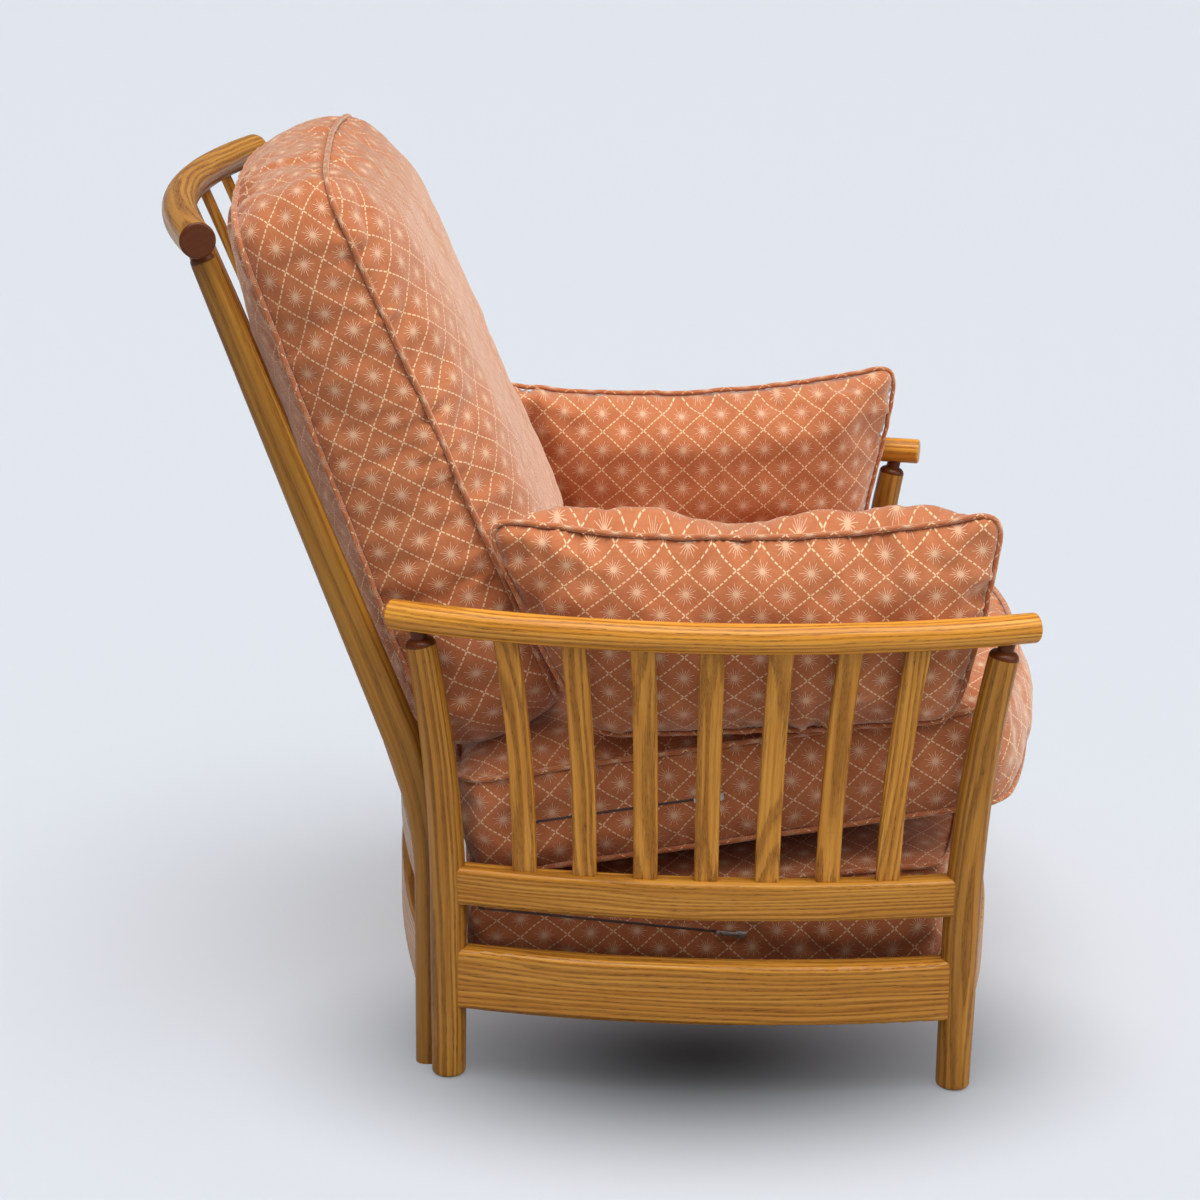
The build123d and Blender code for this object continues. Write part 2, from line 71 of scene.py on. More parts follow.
def node_points(node: str) -> np.ndarray:
    """Returns the corners of a CAD node's mesh, in metres.

    Args:
        node: The node's name.

    Returns:
        One row for each corner.
    """
    mesh = frame["nodes"][node].data
    points = np.zeros(len(mesh.vertices) * 3, np.float32)
    mesh.vertices.foreach_get("co", points)
    return points.reshape(-1, 3).astype(float)


@dataclass(frozen=True)
class Member:
    """Where a straight piece lies: its middle, its axes from longest to shortest, its sizes.

    Args:
        middle: The middle of the piece.
        axes: Three unit vectors as rows, the longest way first.
        sizes: The piece's size along each axis.
    """
    middle: np.ndarray
    axes: np.ndarray
    sizes: np.ndarray

    @classmethod
    def of_node(cls, node: str) -> "Member":
        """Measures a CAD node along its own main directions.

        Args:
            node: The node's name.

        Returns:
            Its middle, axes and sizes.
        """
        points = np.unique(node_points(node).round(WELD_DECIMALS), axis=0)
        centred = points - points.mean(0)
        axes = np.linalg.svd(centred, full_matrices=False)[2]
        along = centred @ axes.T
        low, high = along.min(0), along.max(0)
        middle = points.mean(0) + ((low + high) / 2) @ axes
        order = np.argsort(high - low)[::-1]
        return cls(middle, axes[order], (high - low)[order])


class Receivers(Enum):
    """What a lamp lights."""
    ALL = "all"
    CHAIR = "chair"
    FLOOR = "floor"


class Coordinates(Enum):
    """The coordinates that a finish reads."""
    OBJECT = "Object"
    CLOTH = "UV"


Number = Union["Wire", float]


class Wire:
    """A number or a colour in a material's node tree, with arithmetic on it."""

    def __init__(self, tree: "Tree", socket: bpy.types.NodeSocket) -> None:
        """Wraps an output socket.

        Args:
            tree: The tree that the socket belongs to.
            socket: The output socket.
        """
        self.tree = tree
        self.socket = socket

    def math(self, operation: str, *others: Number) -> "Wire":
        """Adds a Math node that starts from this value."""
        return self.tree.add("ShaderNodeMath", {"operation": operation}, (self, *others))

    def __add__(self, other: Number) -> "Wire":
        """This value plus another."""
        return self.math("ADD", other)

    __radd__ = __add__

    def __sub__(self, other: Number) -> "Wire":
        """This value less another."""
        return self.math("SUBTRACT", other)

    def __rsub__(self, other: float) -> "Wire":
        """A plain number less this value."""
        return self.tree.add("ShaderNodeMath", {"operation": "SUBTRACT"}, (other, self))

    def __mul__(self, other: Number) -> "Wire":
        """This value times another."""
        return self.math("MULTIPLY", other)

    __rmul__ = __mul__

    def __truediv__(self, other: Number) -> "Wire":
        """This value over another."""
        return self.math("DIVIDE", other)

    def above(self, edge: Number, softness: float) -> "Wire":
        """A mask that rises from 0 to 1 over the softness past an edge."""
        return ((self - edge) / softness).clamped()

    def clamped(self) -> "Wire":
        """This value held between 0 and 1."""
        node = {"operation": "ADD", "use_clamp": True}
        return self.tree.add("ShaderNodeMath", node, (self, 0.0))


class Tree:
    """A material's node tree, built by expressions."""

    def __init__(self, name: str) -> None:
        """Starts a material with a Principled surface.

        Args:
            name: The material's name.
        """
        self.material = bpy.data.materials.new(name)
        self.material.use_nodes = True
        self.nodes = self.material.node_tree.nodes
        self.links = self.material.node_tree.links
        self.surface = self.nodes["Principled BSDF"]

    def plug(self, socket: bpy.types.NodeSocket, value: object) -> None:
        """Sets a socket to a value, or links a wire to it.

        Args:
            socket: The input socket.
            value: A wire, or what the socket is to hold.
        """
        if isinstance(value, Wire):
            self.links.new(value.socket, socket)
        else:
            socket.default_value = value

    def add(self, kind: str, settings: dict, inputs: Union[Sequence, dict] = (),
            output: Union[int, str] = 0) -> Wire:
        """Adds a node.

        Args:
            kind: The node's type.
            settings: Its properties, which are set first.
            inputs: Values or wires by place or by name.
            output: The output to return.

        Returns:
            The wire from that output.
        """
        node = self.nodes.new(kind)
        for name, value in settings.items():
            setattr(node, name, value)
        pairs = inputs.items() if isinstance(inputs, dict) else enumerate(inputs)
        for key, value in pairs:
            self.plug(node.inputs[key], value)
        return Wire(self, node.outputs[output])

    def coordinates(self, kind: Coordinates) -> Wire:
        """The object's own coordinates, or its cloth map, in metres.

        Args:
            kind: Which of the two.

        Returns:
            The coordinates.
        """
        if kind is Coordinates.CLOTH:
            return self.add("ShaderNodeUVMap", {"uv_map": UV_NAME})
        return self.add("ShaderNodeTexCoord", {}, output=kind.value)

    def parts(self, vector: Wire) -> tuple[Wire, Wire, Wire]:
        """Splits a vector into its three numbers.

        Args:
            vector: The vector.

        Returns:
            A wire for each number.
        """
        node = self.nodes.new("ShaderNodeSeparateXYZ")
        self.plug(node.inputs[0], vector)
        return tuple(Wire(self, node.outputs[index]) for index in range(3))

    def joined(self, x: Number, y: Number, z: Number) -> Wire:
        """Joins three numbers into a vector."""
        return self.add("ShaderNodeCombineXYZ", {}, (x, y, z))

    def noise(self, vector: Wire, detail: float = 2.0, roughness: float = 0.5) -> Wire:
        """Noise of about one swell to a unit of the vector, around 0.5."""
        inputs = {"Vector": vector, "Scale": 1.0, "Detail": detail, "Roughness": roughness}
        return self.add("ShaderNodeTexNoise", {}, inputs)

    def mix(self, factor: Number, first: object, second: object) -> Wire:
        """Mixes two colours.

        Args:
            factor: The share of the second.
            first: The first colour.
            second: The second colour.

        Returns:
            The mixed colour.
        """
        node = self.nodes.new("ShaderNodeMix")
        node.data_type = "RGBA"
        colours = [socket for socket in node.inputs if socket.type == "RGBA"]
        self.plug(node.inputs[0], factor)
        self.plug(colours[0], first)
        self.plug(colours[1], second)
        found = next(socket for socket in node.outputs if socket.type == "RGBA")
        return Wire(self, found)

    def bump(self, height: Wire, depth: float) -> None:
        """Lays a bump of a depth in metres on the surface."""
        inputs = {"Height": height, "Distance": depth, "Strength": 1.0}
        self.plug(self.surface.inputs["Normal"], self.add("ShaderNodeBump", {}, inputs))

    def set(self, **sockets: object) -> None:
        """Sets the surface's sockets, named in words joined by underscores.

        Args:
            **sockets: A value or a wire for each socket.
        """
        for name, value in sockets.items():
            label = name.replace("_", " ").title().replace("Ior", "IOR")
            self.plug(self.surface.inputs[label], value)


def shaded(painted_light_tone: float, linear: Sequence[float]) -> tuple[float, ...]:
    """Returns a linear colour with its light scaled by a tone."""
    return (*(painted_light_tone * share for share in linear[:3]), 1.0)


def colour(red: int, green: int, blue: int) -> tuple[float, float, float, float]:
    """Turns a screen colour into a linear one.

    Args:
        red: The red channel, from 0 to 255.
        green: The green channel.
        blue: The blue channel.

    Returns:
        The three linear channels, and an alpha of 1.
    """
    full, toe_end, toe_slope, lift, power = 255, 0.04045, 12.92, 0.055, 2.4

    def linear(value: int) -> float:
        """One channel of it."""
        share = value / full
        return share / toe_slope if share <= toe_end else ((share + lift) / (1 + lift)) ** power
    return (linear(red), linear(green), linear(blue), 1.0)


@dataclass(frozen=True)
class StraightGrain:
    """Grain that runs straight along a direction.

    Args:
        along: The direction.
    """
    along: tuple[float, float, float]

    def coordinates(self, tree: Tree, place: Wire) -> tuple[Wire, Wire, Wire]:
        """Two ways across the grain, and the way along it.

        Args:
            tree: The material's tree.
            place: Where a point lies in the chair.

        Returns:
            Lengths in metres, two across the grain and one along it.
        """
        along = Vector(self.along).normalized()
        side = along.orthogonal().normalized()
        rows = (side, along.cross(side), along)
        return tuple(tree.add("ShaderNodeVectorMath", {"operation": "DOT_PRODUCT"},
                              (place, tuple(row)), "Value") for row in rows)


@dataclass(frozen=True)
class BowedGrain:
    """Grain that follows a member bent to an arc in plan.

    Args:
        center: The arc's centre.
        radius: Its radius.
        facing: The way from the centre to the arc's middle.
    """
    center: tuple[float, float]
    radius: float
    facing: tuple[float, float]

    def coordinates(self, tree: Tree, place: Wire) -> tuple[Wire, Wire, Wire]:
        """Out from the arc, up, and round the arc.

        Args:
            tree: The material's tree.
            place: Where a point lies in the chair.

        Returns:
            Lengths in metres, two across the grain and one along it.
        """
        x, y, z = tree.parts(place)
        x, y = x - self.center[0], y - self.center[1]
        out = x * self.facing[0] + y * self.facing[1]
        aside = y * self.facing[0] - x * self.facing[1]
        reach = (x * x + y * y).math("SQRT")
        return reach - self.radius, z, aside.math("ARCTAN2", out) * self.radius


@dataclass(frozen=True)
class BentGrain:
    """Grain of an upright that bends sideways above a height, and then runs straight.

    Args:
        heading: The way that it bends to, in plan.
        start: The height where it bends.
        rise: How high the bend goes on.
        radius: The bend's radius.
    """
    heading: tuple[float, float]
    start: float
    rise: float
    radius: float

    def coordinates(self, tree: Tree, place: Wire) -> tuple[Wire, Wire, Wire]:
        """Two ways across the upright, and up.

        Args:
            tree: The material's tree.
            place: Where a point lies in the chair.

        Returns:
            Lengths in metres, two across the grain and one along it.
        """
        x, y, z = tree.parts(place)
        past = (z - self.start).math("MAXIMUM", 0.0)
        bend = past.math("MINIMUM", self.rise)
        beyond = past - bend
        slope = self.rise / math.sqrt(self.radius**2 - self.rise**2)
        offset = bend * bend * (0.5 / self.radius) + beyond * slope
        return x - offset * self.heading[0], y - offset * self.heading[1], z


Grain = Union[StraightGrain, BowedGrain, BentGrain]


@dataclass(frozen=True)
class EndStain:
    """A plane beyond which the wood is stained dark.

    Args:
        point: A point of the plane.
        outwards: The way to the stained side.
    """
    point: tuple[float, float, float]
    outwards: tuple[float, float, float]


@dataclass(frozen=True)
class Figure:
    """A marking of the wood, finer across the grain than along it.

    Args:
        across: How many swells it has to a metre across the grain.
        along: How many it has to a metre along the grain.
        detail: How many finer layers lie on it.
        roughness: How strong those layers are.
    """
    across: float
    along: float
    detail: float
    roughness: float = 0.5

    def lay(self, tree: Tree, spot: Sequence[Wire]) -> Wire:
        """Lays the marking.

        Args:
            tree: The material's tree.
            spot: Lengths two ways across the grain, and along it.

        Returns:
            The marking, around 0.5.
        """
        across, up, along = spot
        stretched = tree.joined(across * self.across, up * self.across, along * self.along)
        return tree.noise(stretched, self.detail, self.roughness)


@dataclass(frozen=True)
class AshFinish:
    """Satin lacquered ash: growth bands, open pores and dark stained turned ends."""
    pale: tuple = colour(200, 141, 57)
    warm: tuple = colour(173, 111, 35)
    band: tuple = colour(128, 74, 16)
    pore: tuple = colour(80, 42, 10)
    stain: tuple = colour(84, 36, 12)
    band_pitch: float = 0.0046
    pore_width: float = 0.0005
    pore_length: float = 0.012
    pore_depth: float = 0.00012
    shift_range: tuple = (0.1, 0.9)
    heart_range: tuple = (0.03, 0.07)
    ring_flatness: float = 0.35
    wander: Figure = Figure(9, 2.2, 3.0)
    wander_reach: float = 0.030
    year_rates: tuple = (150, 90, 0.8)
    year_reach: float = 1.3
    fibre: Figure = Figure(900, 7, 2.0, 0.6)
    fibre_reach: float = 0.35
    streak: Figure = Figure(260, 4, 3.0, 0.65)
    streak_edge: tuple = (0.36, 0.30)
    cloud: Figure = Figure(24, 3, 2.0)
    cloud_edge: tuple = (0.40, 0.35)
    cloud_share: float = 0.45
    early_end: tuple = (0.34, 0.30)
    early_start: tuple = (0.0, 0.10)
    band_shares: tuple = (0.26, 0.6)
    pore_edge: tuple = (0.56, 0.10)
    early_pore_share: float = 0.75
    late_pore_share: float = 0.18
    pore_share: float = 0.75
    stain_shares: tuple = (0.96, 0.1)
    stain_softness: float = 0.0006
    roughness: float = 0.36
    pore_roughness: float = 0.2
    streak_roughness: float = 0.08

    def stained(self, place: Wire, stains: Sequence[EndStain]) -> Union[Wire, None]:
        """Masks the stained ends.

        Args:
            place: Where a point lies in the chair.
            stains: The planes of those ends.

        Returns:
            The mask, or None where no end is stained.
        """
        dark = None
        for stain in stains:
            reach = place.tree.add("ShaderNodeVectorMath", {"operation": "DOT_PRODUCT"},
                                   (place, stain.outwards), "Value")
            edge = float(np.dot(stain.point, stain.outwards))
            here = reach.above(edge, self.stain_softness)
            dark = here if dark is None else dark.math("MAXIMUM", here)
        return dark

    def material(self, name: str, grain: Grain, seed: int, painted_light_tone: float,
                 stains: Sequence[EndStain] = ()) -> bpy.types.Material:
        """Makes the finish of one member.

        Args:
            name: The material's name.
            grain: How the grain runs.
            seed: What tells this member's grain from another's.
            painted_light_tone: How much lighter or darker this member's wood is painted, as
                painted light and shade for how the light falls on it.
            stains: Where the member is stained dark.

        Returns:
            The material.
        """
        draw = np.random.default_rng(seed)
        tree = Tree(name)
        place = tree.coordinates(Coordinates.OBJECT)
        shift = draw.uniform(*self.shift_range, 3)
        spot = [way + step for way, step in zip(grain.coordinates(tree, place), shift)]
        across, up, along = spot
        wander = self.wander.lay(tree, spot)
        angle = draw.uniform(0.0, math.pi)
        heart = draw.uniform(*self.heart_range)
        beside, above = across - shift[0], up - shift[1]
        near = beside * math.cos(angle) + above * math.sin(angle)
        far = above * math.cos(angle) - beside * math.sin(angle)
        rates = self.year_rates
        years = tree.noise(tree.joined(near * rates[0], far * rates[1], along * rates[2]), 1.0)
        near = near + heart + (wander - 0.5) * self.wander_reach
        ring = (near * near + far * far * self.ring_flatness).math("SQRT") / self.band_pitch
        ring = ring + years * self.year_reach
        fibre = self.fibre.lay(tree, spot)
        saw = (ring + fibre * self.fibre_reach).math("FRACT")
        early = (1.0 - saw.above(*self.early_end)) * saw.above(*self.early_start)
        streak = self.streak.lay(tree, spot)
        cells = tree.noise(tree.joined(across / self.pore_width, up / self.pore_width,
                                       along / self.pore_length), 1.0)
        pores = cells.above(*self.pore_edge)
        pores = pores * (early * self.early_pore_share + self.late_pore_share)
        cloud = self.cloud.lay(tree, spot)
        # Paints light and shade into this member's wood colours by its tone.
        pale, warm, band = (shaded(painted_light_tone, hue) for hue in (self.pale, self.warm, self.band))
        base = tree.mix(streak.above(*self.streak_edge), pale, warm)
        base = tree.mix(cloud.above(*self.cloud_edge) * self.cloud_share, base, warm)
        least_band, clouded_band = self.band_shares
        base = tree.mix(early * (least_band + cloud * clouded_band), base, band)
        base = tree.mix(pores * self.pore_share, base, self.pore)
        dark = self.stained(place, stains)
        if dark is not None:
            most_stain, lost_in_pores = self.stain_shares
            base = tree.mix(dark * (most_stain - pores * lost_in_pores), base, self.stain)
        rough = self.roughness + pores * self.pore_roughness + streak * self.streak_roughness
        tree.set(base_color=base, roughness=rough, coat_weight=0.24, coat_roughness=0.14,
                 specular_ior_level=0.08)
        tree.bump(1.0 - pores, self.pore_depth)
        return tree.material


@dataclass(frozen=True)
class ClothFinish:
    """Terracotta upholstery cloth with a dashed cream lattice and a star in each diamond."""
    ground: tuple = colour(184, 112, 73)
    ground_low: tuple = colour(168, 94, 56)
    thread: tuple = colour(236, 202, 160)
    star: tuple = colour(224, 186, 152)
    diamond_width: float = 0.049
    diamond_height: float = 0.0425
    line_width: float = 0.0010
    dashes_per_side: float = 6.0
    dash_share: float = 0.74
    star_rays: int = 18
    star_reach: float = 0.0084
    ray_width: float = 0.00046
    ray_softness: float = 0.00016
    thread_pitch: float = 0.0009
    weave_depth: float = 0.00025
    ragged_rate: float = 700
    dash_start: tuple = (0.06, 0.08)
    dash_end_softness: float = 0.10
    line_softness: float = 0.0004
    tip_wave: float = 0.0016
    tip_raggedness: float = 0.004
    tip_softness: float = 0.0012
    heart_edge: tuple = (0.0006, 0.0020)
    heart_share: float = 0.75
    star_shares: tuple = (0.75, 0.6)
    star_cover: float = 0.68
    line_cover: float = 0.60
    line_raggedness: float = 0.5
    mottle_rate: float = 55
    mottle_edge: tuple = (0.38, 0.3)
    mottle_share: float = 0.55
    slub_rates: tuple = (60, 900)
    slub_edge: tuple = (0.45, 0.2)
    slub_share: float = 0.25
    weave_height: float = 0.22
    star_height: float = 0.6
    slub_height: float = 0.5

    def lattice(self, rising: Wire, falling: Wire) -> Wire:
        """Masks the dashed lines.

        Args:
            rising: Diamonds counted along one slant.
            falling: Diamonds counted along the other.

        Returns:
            The mask.
        """
        slant = 1 / math.hypot(1 / self.diamond_width, 1 / self.diamond_height)
        strokes = []
        for crossing, running in ((rising, falling), (falling, rising)):
            gap = (crossing.math("ADD", 0.5).math("FRACT") - 0.5).math("ABSOLUTE") * slant
            dash = (running * self.dashes_per_side).math("FRACT")
            ended = dash.above(self.dash_share, self.dash_end_softness)
            dash = dash.above(*self.dash_start) * (1.0 - ended)
            strokes.append((1.0 - gap.above(self.line_width / 2, self.line_softness)) * dash)
        return strokes[0].math("MAXIMUM", strokes[1])

    def stars(self, rising: Wire, falling: Wire, ragged: Wire) -> Wire:
        """Masks the star in the middle of each diamond.

        Args:
            rising: Diamonds counted along one slant.
            falling: Diamonds counted along the other.
            ragged: What makes the rays' ends uneven.

        Returns:
            The mask.
        """
        side = rising.math("FRACT") - 0.5
        rise = falling.math("FRACT") - 0.5
        x = (side + rise) * (self.diamond_width / 2)
        y = (side - rise) * (self.diamond_height / 2)
        reach = (x * x + y * y).math("SQRT")
        turn = y.math("ARCTAN2", x) * (self.star_rays / 2)
        spread = turn.math("SINE").math("ABSOLUTE") * reach * (2 / self.star_rays)
        tip = self.star_reach + turn.math("COSINE") * self.tip_wave
        tip = tip + (ragged - 0.5) * self.tip_raggedness
        rays = 1.0 - spread.above(self.ray_width / 2, self.ray_softness)
        rays = rays * (1.0 - reach.above(tip, self.tip_softness))
        heart = (1.0 - reach.above(*self.heart_edge)) * self.heart_share
        least, uneven = self.star_shares
        return rays.math("MAXIMUM", heart) * (least + ragged * uneven)

    def material(self, name: str) -> bpy.types.Material:
        """Makes the cloth.

        Args:
            name: The material's name.

        Returns:
            The material.
        """
        tree = Tree(name)
        u, v, _ = tree.parts(tree.coordinates(Coordinates.CLOTH))
        rate = self.ragged_rate
        ragged = tree.noise(tree.joined(u * rate, v * rate, 0.0), 1.0)
        across, up = u / self.diamond_width, v / self.diamond_height
        rising, falling = across + up, across - up
        lines = self.lattice(rising, falling)
        star = self.stars(rising, falling, ragged)
        warp = (u * (math.tau / self.thread_pitch)).math("SINE")
        weft = (v * (math.tau / self.thread_pitch)).math("SINE")
        rate = self.mottle_rate
        mottle = tree.noise(tree.joined(u * rate, v * rate, 0.0), 3.0, 0.6)
        slub = tree.noise(tree.joined(u * self.slub_rates[0], v * self.slub_rates[1], 0.0), 2.0)
        worn = (mottle.above(*self.mottle_edge) * self.mottle_share
                + slub.above(*self.slub_edge) * self.slub_share)
        base = tree.mix(worn, self.ground, self.ground_low)
        base = tree.mix(star.clamped() * self.star_cover, base, self.star)
        base = tree.mix(lines * (self.line_cover + ragged * self.line_raggedness), base,
                        self.thread)
        tree.set(base_color=base, roughness=0.88 - lines * 0.15, sheen_weight=0.95,
                 sheen_roughness=0.40, sheen_tint=colour(255, 232, 214),
                 specular_ior_level=0.10)
        raised = lines.math("MAXIMUM", star * self.star_height)
        tree.bump(warp * weft * self.weave_height + raised + slub * self.slub_height,
                  self.weave_depth)
        return tree.material


@dataclass(frozen=True)
class PlainFinish:
    """A metal, rubber or tape finish with fine wear.

    Args:
        base: Its main colour.
        worn: The colour that shows in patches.
        metal: How metallic it is.
        rough: Its roughness.
        patch: The size of its patches, in metres.
        depth: The depth of its bump, in metres.
        fine_rate: How much finer its fine marks are than its patches.
        worn_edge: Where a patch starts, and over how much it comes in.
        rough_range: How much the fine marks add to its roughness.
    """
    base: tuple
    worn: tuple
    metal: float
    rough: float
    patch: float
    depth: float
    fine_rate: float = 9
    worn_edge: tuple = (0.45, 0.25)
    rough_range: float = 0.15

    def material(self, name: str) -> bpy.types.Material:
        """Makes the finish.

        Args:
            name: The material's name.

        Returns:
            The material.
        """
        tree = Tree(name)
        place = tree.coordinates(Coordinates.OBJECT)
        x, y, z = tree.parts(place)
        size = 1 / self.patch
        patches = tree.noise(tree.joined(x * size, y * size, z * size), 4.0, 0.6)
        marks = [way * size * self.fine_rate for way in (x, y, z)]
        fine = tree.noise(tree.joined(*marks), 2.0)
        base = tree.mix(patches.above(*self.worn_edge), self.base, self.worn)
        tree.set(base_color=base, metallic=self.metal,
                 roughness=self.rough + fine * self.rough_range)
        tree.bump(fine, self.depth)
        return tree.material


@dataclass(frozen=True)
class Place:
    """A plane in the chair: its origin, its two directions and its normal."""
    origin: np.ndarray
    x: np.ndarray
    y: np.ndarray
    normal: np.ndarray

    @classmethod
    def facing(cls, origin: Sequence[float], x: Sequence[float],
               normal: Sequence[float]) -> "Place":
        """A place from its origin, its first direction and its normal."""
        x, normal = unit(x), unit(normal)
        return cls(np.asarray(origin, float), x, np.cross(normal, x), normal)

    def raised(self, height: float) -> "Place":
        """The same plane, moved along its normal."""
        return Place(self.origin + self.normal * height, self.x, self.y, self.normal)

    def points(self, flat: np.ndarray, height: Union[float, np.ndarray] = 0.0) -> np.ndarray:
        """Places flat points, with a height over the plane for each.

        Args:
            flat: Points of two numbers each.
            height: One height, or one for each point.

        Returns:
            The points in the chair.
        """
        lift = np.broadcast_to(height, len(flat))[:, None]
        return self.origin + flat[:, :1] * self.x + flat[:, 1:2] * self.y + lift * self.normal


@dataclass(frozen=True)
class Outline:
    """Plan of a cushion.

    Args:
        corners: Its four corners, before they are rounded.
        bows: How far each edge bows out.
        rounding: How far the corners are rounded.
        samples: The points that stand for an edge.
        half_corner: The steps that stand for half a corner.
        corner_reach_share: How much further than the rounding a corner reaches along an edge.
    """
    corners: tuple[tuple[float, float], ...]
    bows: tuple[float, float, float, float]
    rounding: float
    samples: int = 120
    half_corner: int = 15
    corner_reach_share: float = 1.17

    def edge(self, index: int, shares: np.ndarray) -> np.ndarray:
        """Points along a bowed edge, by their shares of it.

        Args:
            index: Which edge.
            shares: How far along it each point lies, from 0 to 1.

        Returns:
            The points.
        """
        start = np.array(self.corners[index])
        along = np.array(self.corners[(index + 1) % 4]) - start
        outwards = unit((along[1], -along[0]))
        share = shares[:, None]
        return start + along * share + outwards * self.bows[index] * 4 * share * (1 - share)

    def trim(self, index: int) -> float:
        """The share of an edge that its corner rounding takes."""
        along = np.subtract(self.corners[(index + 1) % 4], self.corners[index])
        return self.corner_reach_share * self.rounding / float(np.linalg.norm(along))

    def corner(self, index: int) -> np.ndarray:
        """Points round a corner, from the edge before it to the edge after it.

        Args:
            index: Which corner.

        Returns:
            The points.
        """
        before, after = (index - 1) % 4, index
        first = self.edge(before, np.array([1 - self.trim(before)]))[0]
        last = self.edge(after, np.array([self.trim(after)]))[0]
        share = np.linspace(0, 1, 2 * self.half_corner + 1)[:, None]
        middle = np.array(self.corners[index])
        return (1 - share)**2 * first + 2 * share * (1 - share) * middle + share**2 * last

    def side(self, index: int, cells: int) -> np.ndarray:
        """Even points along a side, from the middle of one corner to that of the next.

        Args:
            index: Which side.
            cells: How many steps it takes.

        Returns:
            The points, one more than the steps.
        """
        half = self.half_corner
        trim = self.trim(index)
        line = self.edge(index, np.linspace(trim, 1 - trim, self.samples))
        path = np.vstack([self.corner(index)[half:], line[1:-1],
                          self.corner((index + 1) % 4)[:half + 1]])
        steps = np.linalg.norm(np.diff(path, axis=0), axis=1)
        run = np.concatenate([[0], np.cumsum(steps)])
        wanted = np.linspace(0, run[-1], cells + 1)
        return np.stack([np.interp(wanted, run, path[:, axis]) for axis in (0, 1)], 1)

    def reach(self, flat: np.ndarray) -> np.ndarray:
        """How far out points lie, from 0 in the middle to 1 on the outline.

        Args:
            flat: Points of the plan.

        Returns:
            A share for each.
        """
        ring = np.vstack([self.side(index, self.samples)[:-1] for index in range(4)])
        angle = np.arctan2(ring[:, 1], ring[:, 0])
        order = np.argsort(angle)
        radius = np.linalg.norm(ring, axis=1)[order]
        own = np.arctan2(flat[:, 1], flat[:, 0])
        out = np.interp(own, angle[order], radius, period=math.tau)
        return np.clip(np.linalg.norm(flat, axis=1) / out, 0, 1)


@dataclass
class Panel:
    """A grid of cloth that is one piece of a cushion's cover.

    Args:
        index: The grid's vertex numbers.
        cloth: The grid's places on the flat cloth, in metres.
        flip: Whether its faces turn the other way.
    """
    index: np.ndarray
    cloth: np.ndarray
    flip: bool = False


@dataclass(frozen=True)
class Swelling:
    """How the cover fills: pressure, spare cloth, and the most that a point may move."""
    pressure: float = 4.0
    spare_cloth: float = 0.035
    most: float = 0.024
    frames: int = 20


@dataclass(frozen=True)
class Gathers:
    """Small puckers that run in from the seams."""
    depth: float = 0.0050
    reach: float = 0.026
    pitch: float = 0.0095
    dimple_depth: float = 0.0040
    dimple_rate: float = 13.0
    fine_rate: float = 2.3
    fine_share: float = 0.5
    least_waves: int = 8
    contrast: float = 0.6
    strength_range: tuple = (0.1, 1.0)
    waves_per_strength: int = 9
    least_strengths: int = 6
    seam_margin: float = 0.006
    dimple_margin: float = 0.03
    noise_span: float = 9
    seed: int = 1


